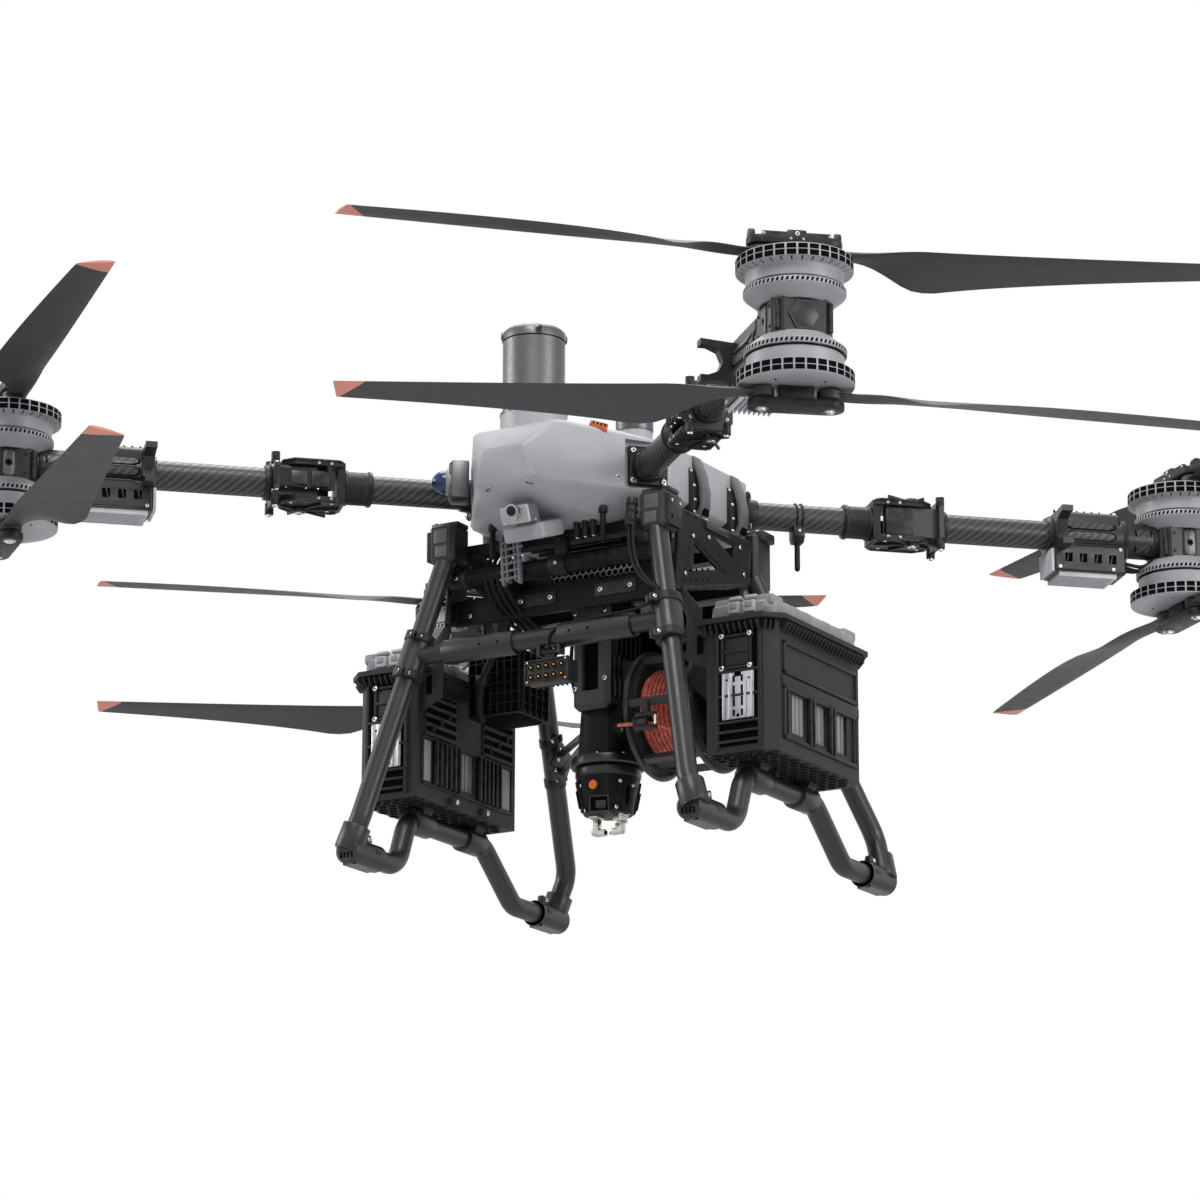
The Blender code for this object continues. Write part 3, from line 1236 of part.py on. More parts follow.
def build_winch():
    black = paint("winch_black", (0.02, 0.02, 0.022), 0.45)
    rope_red = paint("rope_red", (0.55, 0.10, 0.06), 0.7)
    metal = paint("hook_nickel", (0.75, 0.74, 0.71), 0.2, 1.0)
    column = node("winch_column", column_mesh(), black)
    drum = node("winch_drum", drum_mesh(), black, drum_middle(), parent=column)
    line = rope_coil()
    print("rope winding, least gap between loops in mm:", round(coil_gap(line) * 1000, 2))
    coil = swept([point - drum_middle() for point in line], ROPE_R, 1)
    node("rope_winding", coil, rope_red, drum_middle(), parent=drum)
    node("drum_cage", cage_mesh(), black, parent=column)
    node("rope_lead", swept(lead_route(), ROPE_R), rope_red, parent=column)
    hook = node("hook_body", hook_mesh(), black, parent=column)
    node("hook_gate", gate_mesh(), metal, (HOOK_REACH, 0, GATE_Z), parent=hook)
    button_at = (0, -BUTTON_SEAT - BUTTON_OUT, BUTTON_Z)
    node("release_button", button_mesh(), paint("button_orange", (0.85, 0.24, 0.03), 0.4), button_at, parent=hook)


build_arms()
build_body()
build_gear()
build_batteries()
build_winch()
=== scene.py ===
"""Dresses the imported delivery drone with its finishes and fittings, and sets the studio and the camera.

Metres, in the part's frame: +Z up, the front is -Y and the drone's left is +X.
"""

import json
import math
from itertools import product

import bmesh
import bpy
from mathutils import Matrix, Vector
from mathutils.bvhtree import BVHTree

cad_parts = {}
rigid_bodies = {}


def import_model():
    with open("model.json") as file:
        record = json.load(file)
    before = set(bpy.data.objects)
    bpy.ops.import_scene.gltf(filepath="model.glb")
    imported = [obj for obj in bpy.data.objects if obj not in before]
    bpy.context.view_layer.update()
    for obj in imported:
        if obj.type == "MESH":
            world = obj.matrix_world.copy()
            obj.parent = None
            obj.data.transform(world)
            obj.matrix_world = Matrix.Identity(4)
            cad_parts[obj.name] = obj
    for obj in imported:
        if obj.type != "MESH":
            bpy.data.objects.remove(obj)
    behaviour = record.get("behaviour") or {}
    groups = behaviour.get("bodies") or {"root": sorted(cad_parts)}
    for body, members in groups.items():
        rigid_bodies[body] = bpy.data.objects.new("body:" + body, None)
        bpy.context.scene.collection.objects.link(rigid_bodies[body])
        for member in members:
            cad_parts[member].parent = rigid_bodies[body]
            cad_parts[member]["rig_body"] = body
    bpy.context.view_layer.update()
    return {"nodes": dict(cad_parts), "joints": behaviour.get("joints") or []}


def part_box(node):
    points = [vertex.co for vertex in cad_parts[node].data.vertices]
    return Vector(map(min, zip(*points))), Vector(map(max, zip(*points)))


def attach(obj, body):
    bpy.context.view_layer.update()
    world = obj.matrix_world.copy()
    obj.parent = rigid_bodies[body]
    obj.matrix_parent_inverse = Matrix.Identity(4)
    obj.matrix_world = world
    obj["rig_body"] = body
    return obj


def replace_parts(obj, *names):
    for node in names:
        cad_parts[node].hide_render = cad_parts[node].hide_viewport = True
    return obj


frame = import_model()

# Camera, matched to the photograph
CAMERA_AT = Vector((4.4812, -7.5757, -1.9005))
CAMERA_TURN = 30.714
CAMERA_TILT = 15.494
CAMERA_ROLL = 0.127
CAMERA_LENS = 143.03
SENSOR = 36.0
PHOTO_PX = 1200
FLOOR_Z = -3.0

# Pixels of the photograph where small fittings are seen
SHELL_SCREWS_PX = ((487.5, 490.0), (527.5, 481.5), (618.1, 476.8))
LENS_PX = (511.8, 510.8)
CAMERA_SCREWS_PX = ((505.4, 525.2), (536.2, 519.4), (551.8, 532.8), (503.0, 501.5), (523.5, 498.5))
CLIP_PX = (598.0, 431.0)
HOOK_SCREWS_PX = ((620.2, 780.4), (616.2, 806.8), (585.6, 810.6), (628.3, 813.5), (581.4, 785.8),
                  (632.5, 785.4))
HOOK_PANEL_PX = (599.5, 803.5)

# Arms, as the frame has them
MOTOR = Vector((0.840, 0.800, 0.7163))
ARM_Z = 0.727
ARM_LONG = math.hypot(MOTOR.x, MOTOR.y)
ARM_ANGLE = math.degrees(math.atan2(MOTOR.y, MOTOR.x))
CORNERS = {
    "front_right": (180 + ARM_ANGLE, -1),
    "front_left": (-ARM_ANGLE, 1),
    "rear_left": (ARM_ANGLE, -1),
    "rear_right": (180 - ARM_ANGLE, 1),
}
LEVELS = (("upper", 1), ("lower", -1))
SIDES = (("left", 1), ("right", -1))


# Shaders


class Shader:
    """A node material: the shader starts plain and the calls add what the surface shows."""

    def __init__(self, name, colour, roughness, metallic=0.0, sheen=0.5):
        self.material = bpy.data.materials.new(name)
        self.material.use_nodes = True
        self.nodes = self.material.node_tree.nodes
        self.links = self.material.node_tree.links
        self.surface = self.nodes["Principled BSDF"]
        for key, value in (("Base Color", (*colour, 1)), ("Roughness", roughness), ("Metallic", metallic),
                           ("Specular IOR Level", sheen)):
            self.surface.inputs[key].default_value = value
        self.colour = colour
        self.place = self.add("ShaderNodeTexCoord").outputs["Object"]

    def add(self, kind, **values):
        node = self.nodes.new(kind)
        for key, value in values.items():
            setattr(node, key, value)
        return node

    def feed(self, source, node, socket):
        if hasattr(source, "is_output"):
            self.links.new(source, node.inputs[socket])
        else:
            node.inputs[socket].default_value = source

    def math(self, operation, *values):
        node = self.add("ShaderNodeMath", operation=operation)
        for i, value in enumerate(values):
            self.feed(value, node, i)
        return node.outputs[0]

    def noise(self, scale, detail=3.0):
        node = self.add("ShaderNodeTexNoise")
        node.inputs["Scale"].default_value = scale
        node.inputs["Detail"].default_value = detail
        self.links.new(self.place, node.inputs["Vector"])
        return node.outputs["Fac"]

    def ramp(self, source, low, high, start=0.0, end=1.0):
        node = self.add("ShaderNodeMapRange", clamp=True)
        for key, value in (("Value", source), ("From Min", start), ("From Max", end), ("To Min", low),
                           ("To Max", high)):
            self.feed(value, node, key)
        return node.outputs["Result"]

    def mix(self, share, first, second):
        node = self.add("ShaderNodeMix", data_type="RGBA")
        self.feed(share, node, 0)
        for socket, value in ((6, first), (7, second)):
            self.feed((*value, 1) if isinstance(value, tuple) else value, node, socket)
        return node.outputs[2]

    def paint(self, colour):
        self.feed(colour, self.surface, "Base Color")
        return self

    def gloss(self, value):
        self.feed(value, self.surface, "Roughness")
        return self

    def uneven(self, scale, roughness, less, more):
        """Gloss that drifts round a roughness."""
        return self.gloss(self.ramp(self.noise(scale), roughness - less, roughness + more, 0.3, 0.7))

    def relief(self, height, depth, strength=1.0):
        node = self.add("ShaderNodeBump")
        node.inputs["Distance"].default_value = depth
        node.inputs["Strength"].default_value = strength
        self.feed(height, node, "Height")
        previous = self.surface.inputs["Normal"]
        if previous.is_linked:
            self.links.new(previous.links[0].from_socket, node.inputs["Normal"])
        self.links.new(node.outputs["Normal"], previous)
        return self

    def mottled(self, spread, scale=18.0):
        """Slight drift of the colour, so that no face is one flat tone."""
        dark = tuple(c * (1 - spread) for c in self.colour)
        light = tuple(min(1.0, c * (1 + spread)) for c in self.colour)
        return self.paint(self.mix(self.ramp(self.noise(scale, 5), 0, 1, 0.35, 0.65), dark, light))

    def worn(self, colour):
        """Paint rubbed half through along the edges, in patches."""
        edge = self.add("ShaderNodeNewGeometry").outputs["Pointiness"]
        patches = self.ramp(self.noise(60), 0, 1, 0.4, 0.6)
        scuff = self.math("MULTIPLY", self.ramp(edge, 0, 0.5, 0.53, 0.62), patches)
        base = self.surface.inputs["Base Color"]
        below = base.links[0].from_socket if base.is_linked else self.colour
        return self.paint(self.mix(scuff, below, colour))


def moulded(name, colour, roughness, grain=0.00012, scale=900.0, sheen=0.5):
    """Moulded plastic: fine spark-eroded grain, slight colour drift and uneven gloss."""
    shade = Shader(name, colour, roughness, 0.0, sheen).mottled(0.04).uneven(35, roughness, 0.03, 0.04)
    return shade.relief(shade.noise(scale, 2), grain)


def anodised(name, colour, roughness, edge, metallic=0.25, sheen=0.26):
    """Black anodised metal with bright rubbed edges."""
    shade = Shader(name, colour, roughness, metallic, sheen).mottled(0.06, 40).worn(edge)
    shade.uneven(90, roughness, 0.08, 0.08)
    return shade.relief(shade.noise(1400, 2), 0.00006)


def bare_metal(name, colour, roughness):
    """Turned or polished metal with fine lines and cloudy gloss."""
    shade = Shader(name, colour, roughness, 1.0).mottled(0.06, 60).uneven(220, roughness, 0.07, 0.10)
    return shade.relief(shade.noise(1320, 2), 0.00003)


TOW = 0.0042


def twill(name, turn, middle, radius):
    """Carbon twill round a tube whose axis lies along the turned X through the middle."""
    shade = Shader(name, (0.018, 0.018, 0.020), 0.34)
    local = shade.add("ShaderNodeMapping", vector_type="TEXTURE")
    local.inputs["Location"].default_value = middle
    local.inputs["Rotation"].default_value = (0, 0, math.radians(turn))
    shade.links.new(shade.place, local.inputs["Vector"])
    split = shade.add("ShaderNodeSeparateXYZ")
    shade.links.new(local.outputs["Vector"], split.inputs[0])
    round_tube = shade.math("ARCTAN2", split.outputs["Z"], split.outputs["Y"])
    across = shade.math("MULTIPLY", round_tube, radius / TOW)
    along = shade.math("DIVIDE", split.outputs["X"], TOW)
    step = shade.math("ADD", shade.math("FLOOR", across), shade.math("FLOOR", along))
    over = shade.math("LESS_THAN", shade.math("MODULO", shade.math("ADD", step, 4000.0), 4.0), 2.0)
    shade.paint(shade.mix(shade.math("MULTIPLY", over, 0.9), (0.006, 0.006, 0.007), (0.052, 0.053, 0.056)))
    shade.gloss(shade.ramp(over, 0.42, 0.28))
    crown_across = shade.math("MULTIPLY", over, shade.math("PINGPONG", across, 0.5))
    crown = shade.math("ADD", crown_across, shade.math("PINGPONG", along, 0.5))
    return shade.relief(crown, 0.0003, 0.6)


SHELL = moulded("shell_grey", (0.375, 0.383, 0.400), 0.42, 0.00008, 700)
CANISTER = bare_metal("canister_grey", (0.115, 0.117, 0.121), 0.38)
MOTOR_GREY = moulded("motor_grey", (0.33, 0.335, 0.35), 0.40, 0.00005, 1200)
SILVER = bare_metal("camera_silver", (0.40, 0.405, 0.415), 0.42)
STEEL = bare_metal("bolt_steel", (0.72, 0.72, 0.70), 0.22)
NICKEL = bare_metal("hook_nickel", (0.56, 0.545, 0.51), 0.20)
BLACK = anodised("joint_black", (0.014, 0.014, 0.015), 0.42, (0.10, 0.10, 0.105))
# Painted shade in part: the frame's black is kept darker than the joint black, partly its own colour and partly
# painted shade for the parts under the body.
FRAME_BLACK_AND_SHADE = anodised("frame_black", (0.0060, 0.0060, 0.0066), 0.46, (0.04, 0.04, 0.043), 0.0, 0.13)
CHARCOAL = moulded("gear_charcoal", (0.0145, 0.0150, 0.0163), 0.34, sheen=0.48)
# Painted light in part: this grey is the drum cage's own colour, and on the winch column's front face a painted
# lit face.
CAGE_AND_LIT_FACE_GREY = moulded("cage_grey_and_lit_column_face", (0.056, 0.0565, 0.058), 0.50, 0.00018, 600, 0.20)
BOX_DARK = moulded("box_charcoal", (0.026, 0.0262, 0.0275), 0.52, 0.00018, 600, 0.20)
LID_GREY = moulded("battery_grey", (0.27, 0.275, 0.285), 0.46)
PALE = moulded("pale_grey", (0.50, 0.51, 0.53), 0.45)
RUBBER = moulded("cable_rubber", (0.008, 0.008, 0.009), 0.55, sheen=0.18)
# Painted shade: a near-black with almost no gloss, put in the floors of slots, vents, holes and sockets and on
# thin sheets behind openings, where it stands for the shade inside them.
PAINTED_SHADE = moulded("shadow_black", (0.003, 0.003, 0.0033), 0.7, sheen=0.03)
CLIP_ORANGE = moulded("clip_orange", (0.40, 0.070, 0.012), 0.40)
ORANGE = moulded("button_orange", (0.82, 0.16, 0.025), 0.34)
ZINC = bare_metal("bracket_bright", (0.52, 0.53, 0.55), 0.38)
AMBER = moulded("led_amber", (0.90, 0.36, 0.05), 0.25, 0.00002)
DIM_GREY = moulded("latch_grey", (0.085, 0.087, 0.092), 0.42)
STEEL_GREY = moulded("ladder_grey", (0.20, 0.205, 0.225), 0.40)
LENS_GLASS = moulded("lens_glass", (0.006, 0.007, 0.010), 0.12, 0.00001)
BEACON_BLUE = moulded("beacon_blue", (0.003, 0.018, 0.085), 0.08, 0.00001)
ARM_WEAVE = twill("twill_window", 0, (0, 0, 0), 0.036)


# Shapes


HOME = Matrix.Identity(4)
moved = Matrix.Translation


def about(axis, degrees):
    return Matrix.Rotation(math.radians(degrees), 4, axis)


def mirrored(side):
    """Flips left and right where the side is -1."""
    return Matrix.Diagonal((side, 1, 1, 1))


def both(value):
    return -value, value


UPRIGHT = about("X", 90)
SIDE_ON = Matrix(((0, 0, 1, 0), (1, 0, 0, 0), (0, 1, 0, 0), (0, 0, 0, 1)))


def shown(name, mesh, body, at=HOME):
    """Puts a mesh in the scene as a piece that rides on a body."""
    piece = bpy.data.objects.new(name, mesh)
    bpy.context.collection.objects.link(piece)
    piece.matrix_world = at
    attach(piece, body)
    return piece


def settled(bm, name, sharp=35):
    """A mesh from bmesh, smooth but for its sharp edges."""
    mesh = bpy.data.meshes.new(name)
    for face in bm.faces:
        face.smooth = True
    bm.to_mesh(mesh)
    bm.free()
    mesh.set_sharp_from_angle(angle=math.radians(sharp))
    return mesh


def copied(node):
    """The CAD mesh of a node, for reading or for a finished copy."""
    bm = bmesh.new()
    bm.from_mesh(frame["nodes"][node].data)
    return bm


def dressed(node, shade, edge, zones=()):
    """A finished copy of a CAD node: welded, with soft edges, and zones that have a finish of their own."""
    bm = copied(node)
    bmesh.ops.remove_doubles(bm, verts=bm.verts, dist=1e-5)
    bmesh.ops.dissolve_limit(bm, angle_limit=math.radians(0.6), verts=bm.verts, edges=bm.edges)
    for face in bm.faces:
        middle = face.calc_center_median()
        for i, (_, holds) in enumerate(zones):
            if holds(middle):
                face.material_index = i + 1
    mesh = settled(bm, "dressed_" + node)
    for finish in [shade] + [zone[0] for zone in zones]:
        mesh.materials.append(finish.material)
    piece = shown("dressed_" + node, mesh, frame["nodes"][node]["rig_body"])
    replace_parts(piece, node)
    if edge:
        bevel = piece.modifiers.new("edges", "BEVEL")
        bevel.width = edge
        bevel.segments = 2
        bevel.limit_method = "ANGLE"
        bevel.angle_limit = math.radians(32)
        bevel.harden_normals = True
    return piece


BLUNT = 0.5


class Sculpt:
    """Collects the solids of one piece, each with its own finish."""

    def __init__(self):
        self.bm = bmesh.new()
        self.shades = []
        self.here = HOME

    def slot(self, shade):
        """The material slot of a finish."""
        if shade not in self.shades:
            self.shades.append(shade)
        return self.shades.index(shade)

    def keep(self, verts, shade, edge=0.0):
        """Marks the faces of new vertices with their finish, and softens their edges."""
        slot = self.slot(shade)
        faces = {face for vert in verts for face in vert.link_faces}
        for face in faces:
            face.material_index = slot
        if edge:
            edges = {e for f in faces for e in f.edges if len(e.link_faces) == 2}
            corners = [e for e in edges if e.calc_face_angle(0) > BLUNT]
            bmesh.ops.bevel(self.bm, geom=corners, offset=edge, segments=2, profile=0.5, affect="EDGES",
                            clamp_overlap=True, material=slot)

    def walls(self, rings):
        """Faces from each closed ring of vertices to the next."""
        turn = [*range(1, len(rings[0])), 0]
        return [[self.bm.faces.new((low[i - 1], low[i], high[i], high[i - 1])) for i in turn]
                for low, high in zip(rings, rings[1:])]

    def block(self, shade, size, at=(0, 0, 0), turn=HOME, edge=0.001):
        """A box of that size, its edges softened."""
        matrix = self.here @ moved(at) @ turn @ Matrix.Diagonal((*size, 1))
        self.keep(bmesh.ops.create_cube(self.bm, size=1.0, matrix=matrix)["verts"], shade, edge)

    def rod(self, shade, radius, start, end, sides=24, tip=None, edge=0.0):
        """A round bar from start to end, or a cone where the tip has a radius of its own."""
        start, end = Vector(start), Vector(end)
        turn = (end - start).to_track_quat("Z", "Y").to_matrix().to_4x4()
        matrix = self.here @ moved((start + end) / 2) @ turn
        made = bmesh.ops.create_cone(self.bm, cap_ends=True, segments=sides, radius1=radius,
                                     radius2=radius if tip is None else tip, depth=(end - start).length,
                                     matrix=matrix)
        self.keep(made["verts"], shade, edge)

    def prism(self, shade, outline, thick, at=(0, 0, 0), turn=HOME, edge=0.001):
        """A plate of that outline in XY, centred on its thickness."""
        matrix = self.here @ moved(at) @ turn
        verts = [self.bm.verts.new(matrix @ Vector((x, y, -thick / 2))) for x, y in outline]
        base = self.bm.faces.new(verts)
        grown = bmesh.ops.extrude_face_region(self.bm, geom=[base])["geom"]
        top = [g for g in grown if isinstance(g, bmesh.types.BMVert)]
        lift = matrix.to_3x3() @ Vector((0, 0, thick))
        bmesh.ops.translate(self.bm, verts=top, vec=lift)
        bmesh.ops.recalc_face_normals(self.bm, faces=list({f for v in verts + top for f in v.link_faces}))
        self.keep(verts + top, shade, edge)

    def lathe(self, shade, profile, sides=64, lean=0.0):
        """Turns a profile of (radius, height) points; lean skews it by that many steps from ring to ring."""
        rings = []
        for level, (radius, height) in enumerate(profile):
            ring = []
            for i in range(sides):
                angle = 2 * math.pi * (i + lean * level) / sides
                point = Vector((radius * math.cos(angle), radius * math.sin(angle), height))
                ring.append(self.bm.verts.new(self.here @ point))
            rings.append(ring)
        walls = self.walls(rings)
        self.keep(sum(rings, []), shade)
        return walls

    def sunk(self, faces, shade, margin, depth):
        """Sinks patches of faces and gives their floors another finish."""
        bmesh.ops.inset_region(self.bm, faces=faces, thickness=margin, depth=-depth, use_even_offset=True)
        for face in faces:
            face.material_index = self.slot(shade)

    def screw(self, at, axis, radius, tall, shade=STEEL, washer=None):
        """A button-head screw with its hexagon socket, on a washer where it has one."""
        at, axis = Vector(at), Vector(axis).normalized()
        if washer:
            self.rod(washer, radius * 1.55, at - axis * 0.0004, at + axis * radius * 0.22, 20)
            at = at + axis * radius * 0.22
        self.rod(shade, radius, at - axis * 0.0004, at + axis * tall * 0.55, 18)
        self.rod(shade, radius, at + axis * tall * 0.55, at + axis * tall, 18, radius * 0.72)
        # Painted shade: the socket is a near-black plug standing for the shade inside it.
        self.rod(PAINTED_SHADE, radius * 0.42, at + axis * tall * 0.6, at + axis * (tall + 0.0002), 6)

    def wrap(self, shade, radius, rows):
        """A sheet bent round the X axis, from rows of (degrees, start, end)."""
        lines = []
        for degrees, start, end in rows:
            y, z = radius * math.cos(math.radians(degrees)), radius * math.sin(math.radians(degrees))
            lines.append([self.bm.verts.new(self.here @ Vector((x, y, z))) for x in (start, end)])
        for low, high in zip(lines, lines[1:]):
            self.bm.faces.new((low[0], low[1], high[1], high[0]))
        self.keep(sum(lines, []), shade)

    def comb(self, edge_shade, cell_shade, low, high, face_z, deep, cell, wall):
        """A honeycomb facing down over a rectangle in XY, open cell by cell."""
        pitch = cell * math.sqrt(3)
        rows = int((high[1] - low[1]) / (1.5 * cell))
        for row in range(rows):
            y = low[1] + cell + 1.5 * cell * row
            x = low[0] + pitch / 2 * (1 + row % 2)
            while x + pitch / 2 <= high[0]:
                self.comb_cell(edge_shade, cell_shade, Vector((x, y, face_z)), cell, wall, deep)
                x += pitch

    def comb_cell(self, edge_shade, cell_shade, middle, cell, wall, deep):
        corners = [Vector((math.sin(k * math.pi / 3), math.cos(k * math.pi / 3), 0)) for k in range(6)]
        outer, inner, floor = ([self.bm.verts.new(self.here @ (middle + c * reach + Vector((0, 0, up))))
                                for c in corners]
                               for reach, up in ((cell, 0), (cell - wall, 0), (cell - wall, deep)))
        self.walls([outer, inner, floor])
        self.keep(outer + inner, edge_shade)
        self.bm.faces.new(floor).material_index = self.slot(cell_shade)

    def mesh(self, name):
        bmesh.ops.recalc_face_normals(self.bm, faces=self.bm.faces)
        mesh = settled(self.bm, name)
        for shade in self.shades:
            mesh.materials.append(shade.material)
        return mesh

    def piece(self, name, body, at=HOME):
        return shown(name, self.mesh(name), body, at)


def arc(middle, radius, start, end, steps):
    """Points on a circle between two angles in degrees."""
    turns = [math.radians(start + (end - start) * i / steps) for i in range(steps + 1)]
    return [(middle[0] + radius * math.cos(t), middle[1] + radius * math.sin(t)) for t in turns]


CAMERA_STAND = (moved(CAMERA_AT) @ about("Z", CAMERA_TURN) @ about("X", 90 + CAMERA_TILT)
                @ about("Z", CAMERA_ROLL))


def seen_at(node, pixel):
    """Where a pixel of the photograph falls on a node: the point, and the way its surface faces."""
    across = SENSOR / CAMERA_LENS / PHOTO_PX
    ray = CAMERA_STAND.to_3x3() @ Vector(((pixel[0] - PHOTO_PX / 2) * across,
                                          (PHOTO_PX / 2 - pixel[1]) * across, -1))
    return struck(node, CAMERA_AT, ray.normalized())


def struck(node, start, way):
    """Where a ray first meets a node, and the way the surface faces there."""
    bm = copied(node)
    point, normal, _, _ = BVHTree.FromBMesh(bm).ray_cast(start, way)
    bm.free()
    return point, normal


def smooth(share):
    """A share from 0 to 1 that starts and ends gently."""
    share = min(max(share, 0.0), 1.0)
    return share * share * (3 - 2 * share)


def tube(name, points, radius, shade, body, steps=3, kind="NURBS"):
    """A round bar along its points, as a mesh of its own."""
    curve = bpy.data.curves.new(name, "CURVE")
    curve.dimensions = "3D"
    curve.bevel_depth = radius
    curve.bevel_resolution = steps
    curve.use_fill_caps = True
    spline = curve.splines.new(kind)
    spline.points.add(len(points) - 1)
    for knot, point in zip(spline.points, points):
        knot.co = (*point, 1.0)
    spline.use_endpoint_u = True
    spline.order_u = 4
    drawn = bpy.data.objects.new(name, curve)
    bm = bmesh.new()
    bm.from_mesh(drawn.to_mesh())
    bmesh.ops.remove_doubles(bm, verts=bm.verts, dist=1e-5)
    drawn.to_mesh_clear()
    bpy.data.objects.remove(drawn)
    bpy.data.curves.remove(curve)
    bmesh.ops.recalc_face_normals(bm, faces=bm.faces)
    mesh = settled(bm, name, 60)
    mesh.materials.append(shade.material)
    shown(name, mesh, body)


def filleted(points, radius, steps=10):
    """A route with its corners rounded off."""
    points = [Vector(point) for point in points]
    route = [points[0]]
    for before, corner, after in zip(points, points[1:], points[2:]):
        back, ahead = (before - corner).normalized(), (after - corner).normalized()
        half = (math.pi - back.angle(ahead)) / 2
        start, end = corner + back * radius * math.tan(half), corner + ahead * radius * math.tan(half)
        middle = corner + (back + ahead).normalized() * radius / math.cos(half)
        for k in range(steps + 1):
            spoke = (start - middle).slerp(end - middle, k / steps)
            route.append(middle + spoke.normalized() * radius)
    return route + [points[-1]]


def lead(name, points, radius, body="frame"):
    """A rubber lead along given points."""
    tube(name, points, radius, RUBBER, body)


def pipe(name, points, radius):
    """A pipe of the landing gear straight through its points."""
    tube(name, points, radius, CHARCOAL, "frame", 8, "POLY")


# Propellers


PROP_R = 0.7875
BOLT_OUT = 0.0587
EYE_R = 0.022
EYE_TALL = 0.010
EYE_EDGE = 0.003
BOLT_HOLE = 0.0065
BLADE_START = 0.0727
NECK_CHORD = 0.040
WIDEST_CHORD = 0.123
WIDEST_AT = 0.270
TIP_CHORD = 0.066
LEADING = 0.024
CONING = 0.025
TIP_BAND = 0.040
TIP_CUT = 0.012
TIP_CUT_FROM = 0.97
ROOT_THICK = 0.015
TIP_THICK = 0.005
PITCH = 0.470
STEEPEST = math.radians(19)
STATIONS = 30
WING_TOP = ((0.0, 0.0), (0.03, 0.20), (0.12, 0.42), (0.25, 0.58), (0.40, 0.66), (0.58, 0.56), (0.75, 0.38),
            (0.90, 0.16), (1.0, 0.0))
WING_UNDER = ((0.80, -0.10), (0.50, -0.23), (0.22, -0.34), (0.06, -0.20))


def blade_shader(hand):
    """Matte charcoal composite with a slanted salmon band at the tip."""
    shade = moulded(f"blade_charcoal_{hand}", (0.030, 0.030, 0.032), 0.52, 0.00006, 500)
    split = shade.add("ShaderNodeSeparateXYZ")
    shade.links.new(shade.place, split.inputs[0])
    slant = shade.math("MULTIPLY", split.outputs["Y"], hand * 0.55)
    reach = shade.math("ADD", split.outputs["X"], slant)
    band = shade.math("GREATER_THAN", reach, PROP_R - BOLT_OUT - TIP_BAND)
    below = shade.surface.inputs["Base Color"].links[0].from_socket
    return shade.paint(shade.mix(band, below, (0.66, 0.25, 0.175)))


BLADES = {hand: blade_shader(hand) for hand in (-1, 1)}


def blade_mesh(hand, cone):
    """A twisted, tapering blade along +X from its bolt, with a rounded eye at the root."""
    part = Sculpt()
    wing = WING_TOP + WING_UNDER
    rings = []
    for i in range(STATIONS + 1):
        share = (i / STATIONS) ** 1.4
        radius = BLADE_START + (PROP_R - BLADE_START) * share
        neck = smooth((radius - BOLT_OUT - EYE_R) / (WIDEST_AT - BOLT_OUT - EYE_R))
        taper = max(0.0, (radius - WIDEST_AT) / (PROP_R - WIDEST_AT))
        chord = NECK_CHORD + (WIDEST_CHORD - NECK_CHORD) * neck + (TIP_CHORD - WIDEST_CHORD) * taper
        thick = ROOT_THICK + (TIP_THICK - ROOT_THICK) * math.sqrt(share)
        lead = NECK_CHORD / 2 + (LEADING - NECK_CHORD / 2) * smooth(share / 0.2)
        screw = min(math.atan(PITCH / (2 * math.pi * radius)), STEEPEST)
        twist = screw * smooth((radius - BOLT_OUT - 0.040) / 0.130)
        cut = TIP_CUT * smooth((share - TIP_CUT_FROM) / (1 - TIP_CUT_FROM))
        ring = []
        for along, height in wing:
            y, z = lead - along * chord, height * thick
            ring.append(part.bm.verts.new((
                radius - BOLT_OUT - cut * along,
                hand * (y * math.cos(twist) - z * math.sin(twist)),
                y * math.sin(twist) + z * math.cos(twist) + cone * CONING * share)))
        rings.append(ring)
    part.walls(rings)
    for ring in (rings[0], rings[-1]):
        part.bm.faces.new(ring)
    part.keep(sum(rings, []), BLADES[hand])
    under = [(BOLT_HOLE, -EYE_TALL), (EYE_R - EYE_EDGE, -EYE_TALL), (EYE_R, EYE_EDGE - EYE_TALL)]
    part.lathe(BLADES[hand], under + [(radius, -height) for radius, height in under[::-1]], 40)
    return part.mesh(f"blade_{hand}_{cone}")


# Motors


BELL_FOOT = 0.0617
BELL_R = 0.084
BELL_TOP = 0.0865
FLANGE_R = 0.101
FLANGE_TOP = 0.1143
BOWL_R = 0.088
BAR_AT = 0.1373
BAR_TALL = 0.015
BAR_R = 0.0253
CELLS = 32
CELL_STEPS = 6
HUB_FOOT = 0.112
HUB_TOP = BAR_AT + BAR_TALL


